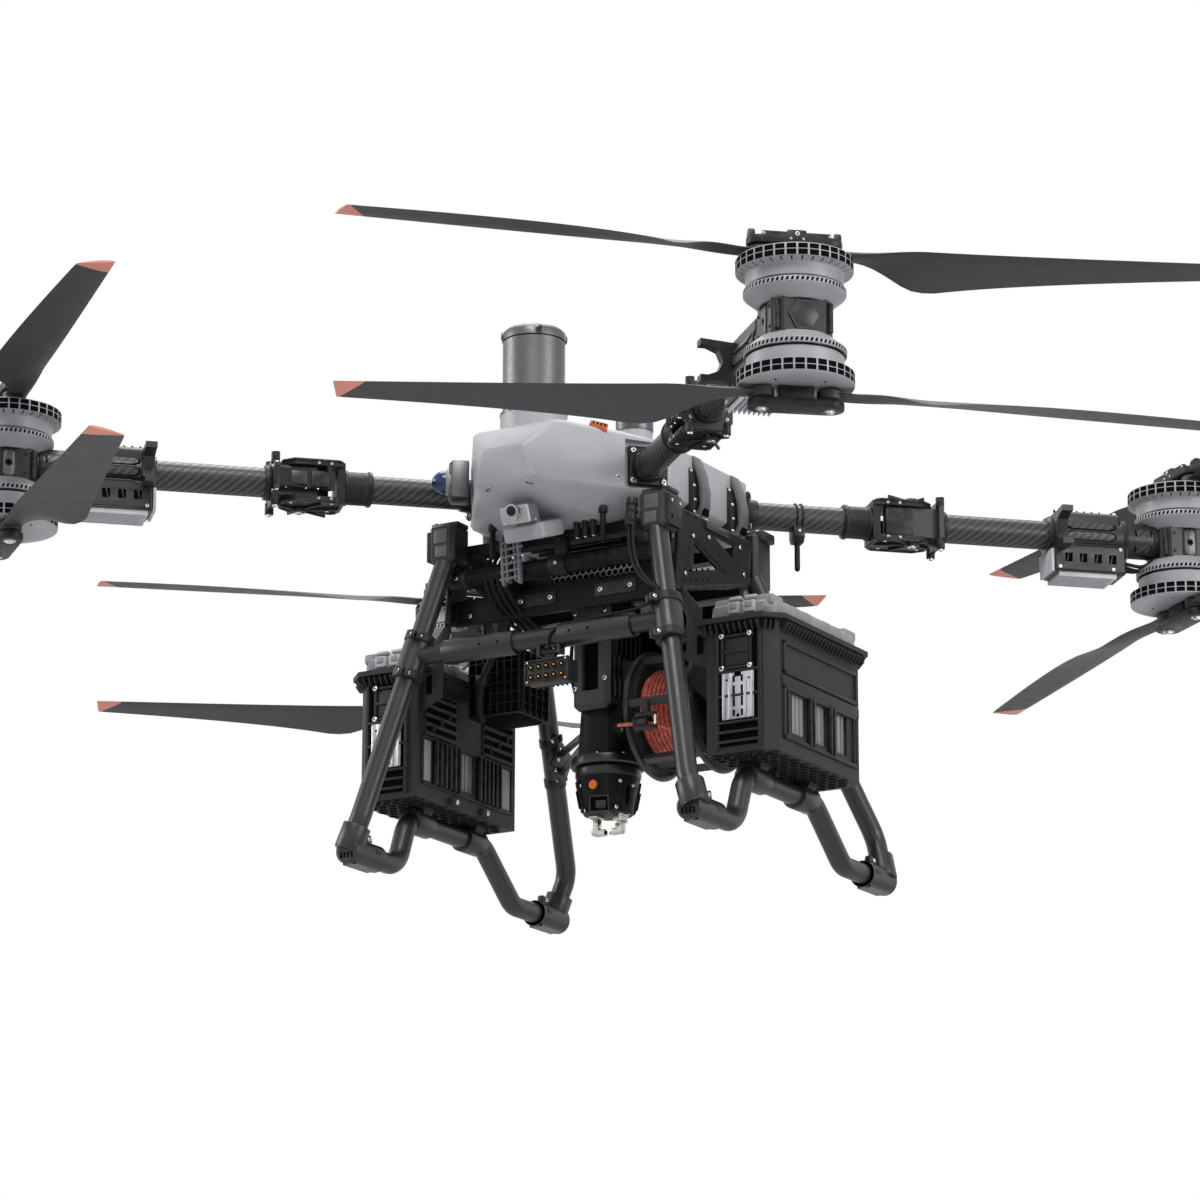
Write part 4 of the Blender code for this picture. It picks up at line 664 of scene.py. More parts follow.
def rotor_mesh(upper):
    """Motor bell with its ladder of air slots, and the hub that carries the two blades."""
    part = Sculpt()
    foot = [(0.0, BELL_FOOT), (BELL_R - 0.002, BELL_FOOT), (BELL_R, BELL_FOOT + 0.002),
            (BELL_R, BELL_TOP - 0.002), (BELL_R + 0.0015, BELL_TOP), (FLANGE_R - 0.003, 0.0905),
            (FLANGE_R, 0.0915)]
    ladder = [(FLANGE_R, 0.1014), (FLANGE_R, 0.1028), (FLANGE_R, 0.1118)]
    crown = [(FLANGE_R - 0.001, 0.1136), (FLANGE_R - 0.004, FLANGE_TOP), (0.072, FLANGE_TOP), (0.068, 0.1133),
             (0.0, 0.1133)]
    profile = foot + ladder + crown
    walls = part.lathe(MOTOR_GREY, profile, CELLS * CELL_STEPS)
    rows = walls[len(foot) - 1], walls[len(foot) + 1]
    cells = [row[i] for row in rows for i in range(CELLS * CELL_STEPS) if i % CELL_STEPS]
    # Painted shade: the floors of the air slots and skirt vents, and the crown screws, are near-black for the
    # shade in them.
    part.sunk(cells, PAINTED_SHADE, 0.0003, 0.009)
    skirt = [walls[4][i] for i in range(CELLS * CELL_STEPS) if i % CELL_STEPS == 3]
    part.sunk(skirt, PAINTED_SHADE, 0.0004, 0.002)
    for turn in (45, 135, 225, 315):
        spot = about("Z", turn) @ Vector((0.060, 0, FLANGE_TOP - 0.0009))
        part.screw(spot, (0, 0, 1), 0.0022, 0.0010, shade=PAINTED_SHADE)
    ends = arc((BOLT_OUT, 0), BAR_R, -90, 90, 14) + arc((-BOLT_OUT, 0), BAR_R, 90, 270, 14)
    part.prism(BLACK, ends, BAR_TALL, (0, 0, BAR_AT + BAR_TALL / 2), edge=0.0028)
    part.block(BLACK, (0.060, 0.030, BAR_AT - HUB_FOOT), (0, 0, (BAR_AT + HUB_FOOT) / 2), edge=0.002)
    for side in (-1, 1):
        part.rod(STEEL, 0.0055, (side * BOLT_OUT, 0, HUB_FOOT), (side * BOLT_OUT, 0, BAR_AT + 0.002), 20)
        top = Vector((side * BOLT_OUT, 0, HUB_TOP))
        part.rod(STEEL, 0.0118, top - Vector((0, 0, 0.0005)), top + Vector((0, 0, 0.0012)), 28)
        part.rod(STEEL, 0.0082, top, top + Vector((0, 0, 0.0040)), 6, edge=0.0006)
    if upper:
        part.block(BLACK, (0.034, 0.049, 0.022), (0, 0, HUB_TOP), edge=0.003)
        cheek = arc((0, 0.004), 0.013, 0, 180, 10) + [(-0.013, -0.012), (0.013, -0.012)]
        for side in (-1, 1):
            for y in both(0.018):
                part.block(BLACK, (0.048, 0.010, 0.012), (side * 0.036, y, HUB_TOP + 0.001), edge=0.002)
            part.prism(BLACK, cheek, 0.010, (side * 0.0755, 0, HUB_TOP - 0.001), SIDE_ON, 0.0015)
        for face in (-1, 1):
            part.screw((0, face * 0.0245, HUB_TOP + 0.003), (0, face, 0), 0.0042, 0.002)
            for x in both(0.011):
                part.screw((x, face * 0.0245, HUB_TOP - 0.006), (0, face, 0), 0.0024, 0.0014)
            for side in (-1, 1):
                part.screw((side * 0.058, face * 0.023, HUB_TOP + 0.001), (0, face, 0), 0.0026, 0.0014)
    return part.mesh("rotor_upper" if upper else "rotor_lower")


def stator_mesh():
    """The fixed bowl under a bell, with the ring of slanted vents round its rim."""
    part = Sculpt()
    # Painted shade: a near-black disc closes the bowl under the bell, and the vent floors are near-black, for
    # the shade inside the motor.
    part.lathe(PAINTED_SHADE, [(0.0, 0.0612), (BOWL_R - 0.0045, 0.0612), (BOWL_R - 0.0045, 0.0590)], 96)
    bowl = [(0.060, 0.0288), (0.0635, 0.0290), (0.082, 0.0440), (0.0868, 0.0478), (BOWL_R + 0.0004, 0.0500)]
    rim = [(BOWL_R + 0.0004, 0.0506), (BOWL_R + 0.0004, 0.0572), (BOWL_R - 0.0002, 0.0590),
           (BOWL_R - 0.0045, 0.0590)]
    walls = part.lathe(MOTOR_GREY, bowl + rim, 128, 0.5)
    vents = [walls[len(bowl)][i] for i in range(0, 128, 2)]
    part.sunk(vents, PAINTED_SHADE, 0.0005, 0.0035)
    return part.mesh("stator")


def build_rotors():
    """Motors, stator bowls and blades of all eight rotors, each where its joint is."""
    rotors = {label: rotor_mesh(label == "upper") for label, _ in LEVELS}
    stator = stator_mesh()
    blades = {(hand, level): blade_mesh(hand, level) for hand in (-1, 1) for level in (-1, 1)}
    places = {joint["child"]: Vector(joint["pos_m"]) for joint in frame["joints"] if "pos_m" in joint}
    for corner, (_, side) in CORNERS.items():
        for label, level in LEVELS:
            name = f"{corner}_{label}"
            motor = places["rotor_" + name]
            root = places[f"blade_{name}_a"] - motor
            rest = math.degrees(math.atan2(root.y, root.x))
            stand = moved(motor) @ about("Z", rest)
            over = about("X", 180) if level < 0 else HOME
            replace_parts(shown("motor_" + name, rotors[label], "rotor_" + name, stand @ over), "rotor_" + name)
            shown("stator_" + name, stator, "arm_" + corner, moved(motor) @ over)
            for letter, half_turn in (("a", 0), ("b", 180)):
                node = f"blade_{name}_{letter}"
                spoke = moved(places[node]) @ about("Z", rest + half_turn)
                blade = shown("wing_" + node[6:], blades[(-side * level, level)], node, spoke)
                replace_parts(blade, node)


# Arm fittings


def arm_frame(corner):
    """Along the arm is +X, from the middle of the body."""
    return moved((0, 0, ARM_Z)) @ about("Z", CORNERS[corner][0])


def on_tube(corner, start, end, radius):
    """Tells which faces lie on an arm's bare tube."""
    inward = arm_frame(corner).inverted()

    def holds(middle):
        local = inward @ middle
        return start < local.x < end and math.hypot(local.y, local.z) < radius

    return holds


def hexagon(half_wide, half_tall, point):
    """A tall hexagon with pointed ends."""
    shoulder = half_tall - point
    return [(half_wide, -shoulder), (half_wide, shoulder), (half_wide - point, half_tall),
            (point - half_wide, half_tall), (-half_wide, shoulder), (-half_wide, -shoulder),
            (point - half_wide, -half_tall), (half_wide - point, -half_tall)]


HINGE = Vector((0.600, 0.022, 0))
LATCH_X = 0.655
FORK_HALF = 0.0400
SLOTS_Z = -0.052
CASE_HALF = 0.0400
MOTOR_DROP = MOTOR.z - ARM_Z


def outlined(part, shade, radius, corners, sides):
    """A bead round a closed row of corners."""
    for first, last in zip(corners, corners[1:] + corners[:1]):
        part.rod(shade, radius, first, last, sides)


def arm_fittings(side):
    """Bolts, controller slots and fins, carbon windows and motor block trim of an outer arm."""
    part = Sculpt()
    part.here = Matrix.Diagonal((1, side, 1, 1))
    for y, z in product(both(0.034), (-1, 1)):
        part.rod(BLACK, 0.0085, (LATCH_X, y, z * 0.030), (LATCH_X, y, z * 0.0525), 20, edge=0.0012)
        part.screw((LATCH_X, y, z * 0.0525), (0, 0, z), 0.0052, 0.0035)
        part.screw((0.660, y, z * 0.024), (1, 0, 0), 0.0036, 0.0022)
    part.rod(BLACK, 0.0335, (0.660, 0, 0), (0.672, 0, 0), 40, edge=0.0015)
    low, high = -0.0295, 0.037
    knuckle = [point for point in arc(HINGE, 0.0555, 100, 250, 24) if low < point[1] < high]
    part.prism(BLACK, knuckle + [(HINGE.x, low), (HINGE.x, high)], 0.0568, edge=0.002)
    # Painted shade: near-black sheets in the controller slots and between the fins stand for the shade in them.
    for face in (-1, 1):
        for x, z in ((0.904, -0.031), (1.022, -0.031), (0.897, -0.072), (1.006, -0.072)):
            part.screw((x, face * CASE_HALF, z), (0, face, 0), 0.0038, 0.0022)
        for i in range(4):
            part.block(PAINTED_SHADE, (0.0148, 0.0008, 0.0178), (0.915 + 0.030 * i, face * 0.0357, SLOTS_Z), edge=0)
            part.block(CHARCOAL, (0.0022, 0.0040, 0.0178), (0.913 + 0.030 * i, face * 0.0375, SLOTS_Z),
                       about("Y", 12), 0.0004)
        rim = [(0.890, -0.079), (1.010, -0.079), (1.034, -0.048), (1.034, -0.025), (0.928, -0.025),
               (0.890, -0.045)]
        outlined(part, CHARCOAL, 0.0016, [(x, face * CASE_HALF, z) for x, z in rim], 8)
    for i in range(9):
        y = -0.036 + 0.009 * i
        part.block(PALE, (0.118, 0.0026, 0.010), (0.954, y, -0.0855), edge=0.0006)
        part.block(PALE, (0.006, 0.0026, 0.046), (0.883, y, -0.058), edge=0.0006)
    for i in range(7):
        part.block(PAINTED_SHADE, (0.0085, 0.038, 0.0016), (0.910 + 0.0155 * i, 0, 0.0456), about("Z", 24), 0)
        part.block(BLACK, (0.0035, 0.046, 0.0050), (0.902 + 0.0155 * i, 0, 0.0465), about("Z", 24), 0.0006)
    for y in both(0.018):
        part.screw((1.018, y, 0.046), (0, 0, 1), 0.0042, 0.0026)
        part.screw((0.898, y, 0.046), (0, 0, 1), 0.0042, 0.0026)
    # Painted shade: a near-black sheet a little wider than each carbon window rims it, for the shade at the
    # window's edge.
    for middle, spread in ((28, 13), (-8, 12), (152, 13), (188, 12)):
        for shade, radius, grow in ((PAINTED_SHADE, 0.0363, 0.004), (ARM_WEAVE, 0.0366, 0.0)):
            rows = []
            for k in range(9):
                turn = k / 4 - 1
                cut = 0.020 * max(0.0, abs(turn) - 0.45)
                rows.append((middle + turn * (spread + grow * 600), 0.915 - grow + cut, 1.012 + grow - cut))
            part.wrap(shade, radius, rows)
    for middle in (12, 168, -40, 220):
        rows = [(middle + 3.0 * k, 1.058, 1.086) for k in range(-4, 5)]
        part.wrap(PAINTED_SHADE, 0.0363, [(turn, start - 0.003, end + 0.003) for turn, start, end in rows])
        part.wrap(ARM_WEAVE, 0.0366, rows)
    for x in (0.888, 1.037, 1.098):
        part.rod(BLACK, 0.0378, (x - 0.004, 0, 0), (x + 0.004, 0, 0), 44, edge=0.001)
    part.here = part.here @ moved((ARM_LONG, 0, MOTOR_DROP))
    # Painted shade: a near-black plug in each side bore of the motor block.
    for face in (-1, 1):
        at = (0, face * 0.0552, 0)
        part.prism(BLACK, hexagon(0.0145, 0.030, 0.006), 0.003, at, UPRIGHT, 0.0008)
        part.prism(CANISTER, hexagon(0.0105, 0.0255, 0.005), 0.0036, at, UPRIGHT, 0.0006)
        part.rod(PAINTED_SHADE, 0.0052, (0, face * 0.050, 0), (0, face * 0.0573, 0), 20)
        part.rod(BLACK, 0.0075, (0, face * 0.050, 0), (0, face * 0.0571, 0), 24)
        for x, z in product(both(0.031), both(0.018)):
            part.screw((x, face * 0.0550, z), (0, face, 0), 0.0030, 0.0016, shade=BLACK)
    part.prism(CHARCOAL, arc((0, 0), 0.0245, 0, 300, 5), 0.002, (0.0578, 0, 0), SIDE_ON, 0.0006)
    for x, y in product(both(0.0475), both(0.0475)):
        part.rod(BLACK, 0.0052, (x, y, -0.026), (x, y, 0.026), 14, edge=0.001)
    return part.mesh(f"arm_fittings_{side}")


def root_fittings(side):
    """Socket bolts, neck rings, fork ribs and hinge pin caps of an inner arm."""
    part = Sculpt()
    part.here = Matrix.Diagonal((1, side, 1, 1))
    for y, z in product(both(0.0295), both(0.0295)):
        part.rod(BLACK, 0.0082, (0.270, y, z), (0.2728, y, z), 22, edge=0.0006)
        part.screw((0.2728, y, z), (1, 0, 0), 0.0054, 0.0026)
    part.rod(BLACK, 0.0325, (0.271, 0, 0), (0.292, 0, 0), 44, 0.0300, edge=0.001)
    for x in (0.470, 0.516):
        part.rod(BLACK, 0.0342, (x - 0.003, 0, 0), (x + 0.003, 0, 0), 44, edge=0.0008)
    for z in (-1, 1):
        plane = z * FORK_HALF
        for spoke, long in ((150, 0.052), (195, 0.064), (235, 0.046), (330, 0.034), (60, 0.022)):
            aim = about("Z", spoke) @ Vector((1, 0, 0))
            middle = HINGE + Vector((0, 0, plane + z * 0.002)) + aim * (0.012 + long / 2)
            part.block(BLACK, (long, 0.0045, 0.006), middle, about("Z", spoke), 0.0010)
        outline = [(0.527, -0.034), (0.535, -0.040), (0.618, -0.040), (0.638, -0.022), (0.638, 0.022),
                   (0.618, 0.040), (0.535, 0.040), (0.527, 0.034)]
        outlined(part, BLACK, 0.0028, [(x, y, plane) for x, y in outline], 10)
        cap = Vector((*HINGE.xy, z * 0.0455))
        part.rod(BLACK, 0.0155, (*HINGE.xy, plane), cap, 30, edge=0.0012)
        part.screw(cap, (0, 0, z), 0.0085, 0.0035, washer=BLACK)
        for x, y in ((0.545, -0.026), (0.545, 0.026), (0.622, -0.020)):
            part.screw((x, y, plane), (0, 0, z), 0.0036, 0.0022)
    for face, z in product((-1, 1), both(0.035)):
        for x in (0.548, 0.572):
            part.screw((x, face * FORK_HALF, z), (0, face, 0), 0.0030, 0.0016)
    return part.mesh(f"root_fittings_{side}")


def latch_fittings(side):
    """Ribbed grip, pressed panel and screws of the lever that locks an arm straight."""
    part = Sculpt()
    part.here = Matrix.Diagonal((1, side, 1, 1))
    out = -0.0490
    part.block(CHARCOAL, (0.030, 0.0026, 0.026), (0.612, -0.0515, 0))
    part.block(BLACK, (0.034, 0.0030, 0.030), (0.571, out + 0.0010, 0), edge=0.0012)
    for i in range(5):
        part.block(BLACK, (0.0020, 0.0026, 0.026), (0.559 + 0.006 * i, out - 0.0006, 0), edge=0.0006)
    for x in (0.598, 0.575, 0.636):
        part.screw((x, -0.0440, -0.0180), (0, 0, -1), 0.0026, 0.0018)
    for z in (-1, 1):
        part.screw((LATCH_X, -0.0525, z * 0.0262), (0, 0, z), 0.0046, 0.0026)
    return part.mesh(f"latch_fittings_{side}")


def motor_leads(corner):
    """Three leads that hang from the controller to the motor block."""
    place = arm_frame(corner)
    for i, y in enumerate((-0.020, 0.0, 0.020)):
        drop = 0.058 + 0.003 * (i % 2)
        route = [(1.028, y, -0.052), (1.045, y, -0.054), (1.062, y, -drop), (1.080, y * 0.9, -drop + 0.002),
                 (1.096, y * 0.8, -0.040), (1.110, y * 0.7, -0.032)]
        lead(f"motor_lead_{corner}_{i}", [place @ Vector(point) for point in route], 0.0036, "arm_" + corner)


def fit_arms():
    """Finish, fittings and leads of the four arms; the rear ones carry an antenna."""
    arms, roots, latches = ({side: made(side) for side in (-1, 1)}
                            for made in (arm_fittings, root_fittings, latch_fittings))
    for corner, (azimuth, side) in CORNERS.items():
        place = arm_frame(corner)
        weave = twill("twill_" + corner, azimuth, (0, 0, ARM_Z), 0.029)
        dressed("arm_root_" + corner, BLACK, 0.001, [(weave, on_tube(corner, 0.280, 0.462, 0.0295))])
        dressed("arm_" + corner, CHARCOAL, 0.001, [(weave, on_tube(corner, 0.665, 0.880, 0.0295))])
        dressed("arm_latch_" + corner, BLACK, 0.001)
        shown("arm_trim_" + corner, arms[side], "arm_" + corner, place)
        shown("root_trim_" + corner, roots[side], "frame", place)
        shown("latch_trim_" + corner, latches[side], "arm_latch_" + corner, place)
        motor_leads(corner)
        if corner.startswith("rear"):
            arm_antenna(corner, place)


def arm_antenna(corner, place):
    """The stub antenna strapped under a rear arm: saddle, screw, two ties and a rubber rod."""
    part = Sculpt()
    x = 0.375
    saddle = [(-0.020, -0.010), (0.020, -0.010), (0.020, -0.040), (0.010, -0.051), (-0.010, -0.051),
              (-0.020, -0.040)]
    part.prism(BLACK, saddle, 0.022, (x, 0, 0), SIDE_ON, 0.0016)
    for tie in both(0.0055):
        part.rod(RUBBER, 0.0302, (x + tie - 0.0014, 0, 0), (x + tie + 0.0014, 0, 0), 44, edge=0.0004)
    part.rod(BLACK, 0.0072, (x, 0, -0.049), (x, 0, -0.0535), 24, edge=0.0008)
    part.rod(RUBBER, 0.0054, (x, 0, -0.050), (x, 0, -0.1020), 24)
    part.rod(RUBBER, 0.0054, (x, 0, -0.1020), (x, 0, -0.1062), 24, 0.0028, edge=0.0010)
    for side in (-1, 1):
        part.screw((x, side * 0.0200, -0.029), (0, side, 0), 0.0032, 0.0018)
    part.piece("arm_antenna_" + corner, "frame", place)


# Body fittings


def facing(normal):
    """Turns +Z to a surface's normal, with +Y as near to upward as it can be."""
    normal = Vector(normal).normalized()
    side = Vector((0, 0, 1)).cross(normal)
    if side.length < 1e-4:
        side = Vector((1, 0, 0))
    side.normalize()
    up = normal.cross(side)
    return Matrix((side, up, normal)).transposed().to_4x4()


def mirror_spot(spot):
    """The same place on the other side, with the way it faces."""
    point, normal = spot
    return Vector((-point.x, point.y, point.z)), Vector((-normal.x, normal.y, normal.z))


def shell_screws(part):
    """Countersunk screws of the shell's panels, the same on both sides."""
    for pixel in SHELL_SCREWS_PX:
        spot = seen_at("fuselage", pixel)
        for point, normal in (spot, mirror_spot(spot)):
            part.rod(SHELL, 0.0068, point - normal * 0.001, point + normal * 0.0006, 24)
            part.screw(point + normal * 0.0004, normal, 0.0046, 0.0012, shade=SILVER)


def side_latch(part, y, side):
    """An over-centre latch on the side of the shell: a back plate with four screws and a curved lever."""
    part.here = mirrored(side) @ moved((0, y, 0))
    plate = [(0.200, 0.768), (0.214, 0.766), (0.229, 0.735), (0.233, 0.690), (0.231, 0.655), (0.212, 0.642),
             (0.205, 0.660), (0.212, 0.690)]
    part.prism(BLACK, plate, 0.044, (0, 0, 0), UPRIGHT, 0.0012)
    lever = [(0.212, 0.779), (0.226, 0.776), (0.240, 0.742), (0.247, 0.705), (0.245, 0.672), (0.234, 0.650),
             (0.229, 0.656), (0.238, 0.680), (0.236, 0.715), (0.228, 0.745)]
    part.prism(DIM_GREY, lever, 0.030, (0, 0.006, 0), UPRIGHT, 0.0022)
    # Painted shade: a near-black block in the lever's slot.
    part.block(PAINTED_SHADE, (0.004, 0.018, 0.014), (0.2440, 0.006, 0.664), about("Y", 8))
    part.rod(STEEL, 0.0028, (0.236, -0.020, 0.654), (0.236, 0.024, 0.654), 14)
    for x, z in ((0.2255, 0.744), (0.2320, 0.714), (0.2335, 0.686), (0.2325, 0.662)):
        part.screw((x - 0.0010, -0.0162, z), (1, -0.35, 0.1), 0.0030, 0.0024)
    part.here = HOME


def beacon():
    """The blue strobe on the right of the nose, in its grey housing."""
    part = Sculpt()
    outward = Vector((-0.82, -0.57, 0)).normalized()
    part.here = moved((-0.146, -0.262, 0.727)) @ facing(outward)
    part.block(CANISTER, (0.060, 0.074, 0.034), (0, 0, 0.024), edge=0.004)
    part.block(DIM_GREY, (0.050, 0.064, 0.006), (0, 0, 0.042), edge=0.002)
    part.rod(LID_GREY, 0.0262, (0, 0, 0.040), (0, 0, 0.0485), 48, edge=0.0012)
    part.rod(LID_GREY, 0.0240, (0, 0, 0.0480), (0, 0, 0.0510), 48, edge=0.0008)
    turns = [t * math.pi / 20 for t in range(11)]
    dome = [(0.0226 * math.cos(t), 0.0505 + 0.0265 * math.sin(t)) for t in turns]
    part.lathe(BEACON_BLUE, dome, 48)
    for x, y in product(both(0.024), both(0.031)):
        part.screw((x, y, 0.041), (0, 0, 1), 0.0028, 0.0016, shade=BLACK)
    part.piece("strobe_beacon", "frame")


def camera_trim(part):
    """Black lens barrel with its glass, and the screws of the camera and the radar."""
    lens = seen_at("front_camera", LENS_PX)[0]
    ahead = about("X", 20) @ Vector((0, -1, 0))
    part.rod(SILVER, 0.0128, lens - ahead * 0.004, lens + ahead * 0.0024, 36, edge=0.0008)
    part.rod(BLACK, 0.0098, lens, lens + ahead * 0.0040, 36, edge=0.0008)
    part.rod(LENS_GLASS, 0.0068, lens, lens + ahead * 0.0046, 32, 0.0054)
    for pixel in CAMERA_SCREWS_PX:
        point, normal = seen_at("front_camera", pixel)
        if point:
            part.screw(point, normal, 0.0026, 0.0016)


CAN_R = 0.0590


def canister():
    """The parachute canister with its capped top, and the sensor eyes round the cap."""
    part = Sculpt()
    part.here = middle = moved((0, -0.279, 0))
    part.lathe(CANISTER, [(0.0, 0.8295), (0.0640, 0.8295), (0.0640, 0.8330), (CAN_R, 0.8350),
                          (CAN_R, 0.9768)], 96)
    part.lathe(CANISTER, [(CAN_R, 0.9768), (0.0604, 0.9772), (0.0604, 0.9905), (CAN_R, 0.9935),
                          (0.0535, 0.9985), (0.0515, 0.9998), (0.0, 0.9998)], 96)
    for turn in (-49.3, 40.7, 130.7, 220.7):
        part.here = middle @ moved((0, 0, 0.986)) @ about("Z", turn)
        part.rod(CANISTER, 0.0085, (0.056, 0, 0), (0.0618, 0, 0), 28, edge=0.0008)
        part.rod(LENS_GLASS, 0.0066, (0.058, 0, 0), (0.0632, 0, 0), 24, edge=0.001)
    part.here = middle
    # Painted shade: a near-black groove ring below the cap.
    part.lathe(PAINTED_SHADE, [(0.0592, 0.9752), (0.0597, 0.9760), (0.0592, 0.9768)], 72)
    for k in range(8):
        part.screw(about("Z", 45 * k + 20) @ Vector((0.0615, 0, 0.8290)), (0, 0, 1), 0.0020, 0.0012)
    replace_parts(part.piece("canister", "frame"), "parachute_canister")


def shell_fittings():
    """What is fixed to the shell: screws, latches, lens, orange clip, cap, two rods under the nose."""
    part = Sculpt()
    shell_screws(part)
    for side, y in product((-1, 1), (-0.058, 0.090)):
        side_latch(part, y, side)
    camera_trim(part)
    edge = seen_at("fuselage", CLIP_PX)[0] + Vector((-0.007, 0.012, 0))
    part.here = moved((edge.x, edge.y, seat_height(edge.x, edge.y))) @ about("Z", 40) @ about("Y", 12)
    part.block(CLIP_ORANGE, (0.034, 0.020, 0.020), (0, 0, -0.001), edge=0.0025)
    # Painted shade: near-black grooves across the clip.
    for k in range(4):
        part.block(PAINTED_SHADE, (0.0036, 0.0204, 0.0050), (-0.011 + 0.0074 * k, 0, 0.0045), edge=0.0004)
    part.here = HOME
    for y, x in product((-0.232, 0.200), both(0.045)):
        part.screw((x, y, seat_height(x, y)), (0, 0, 1), 0.0042, 0.0014, shade=SILVER)
    part.here = moved((0, 0.098, 0))
    part.lathe(CANISTER, [(0.0362, 0.900), (0.0370, 0.902), (0.0370, 0.925), (0.0345, 0.9278), (0.0, 0.9278)])
    for x in both(0.1215):
        part.here = moved((x, -0.227, 0))
        part.rod(BLACK, 0.0085, (0, 0, 0.650), (0, 0, 0.637), 24, edge=0.001)
        part.rod(RUBBER, 0.0056, (0, 0, 0.640), (0, 0, 0.584), 20, edge=0.0006)
        part.rod(RUBBER, 0.0056, (0, 0, 0.584), (0, 0, 0.5815), 20, 0.0035)
    part.piece("shell_fittings", "frame")


def seat_height(x, y):
    """Height of the shell's upper surface above a place."""
    return struck("fuselage", Vector((x, y, 2)), Vector((0, 0, -1)))[0].z


def cheek_border(part, corners, outer, inner):
    """A pressed border that narrows a three-cornered opening of a side plate."""
    middle = (sum(y for y, _ in corners) / 3, sum(z for _, z in corners) / 3)
    rings = [[(middle[0] + (y - middle[0]) * share, middle[1] + (z - middle[1]) * share) for y, z in corners]
             for share in (outer, inner)]
    for k in range(3):
        j = (k + 1) % 3
        strip = [rings[0][k], rings[0][j], rings[1][j], rings[1][k]]
        part.prism(FRAME_BLACK_AND_SHADE, strip, 0.005, (0.2505, 0, 0), SIDE_ON, 0.0008)


CHEEK = [(-0.165, 0.640), (-0.182, 0.482), (0.094, 0.556), (0.104, 0.640)]


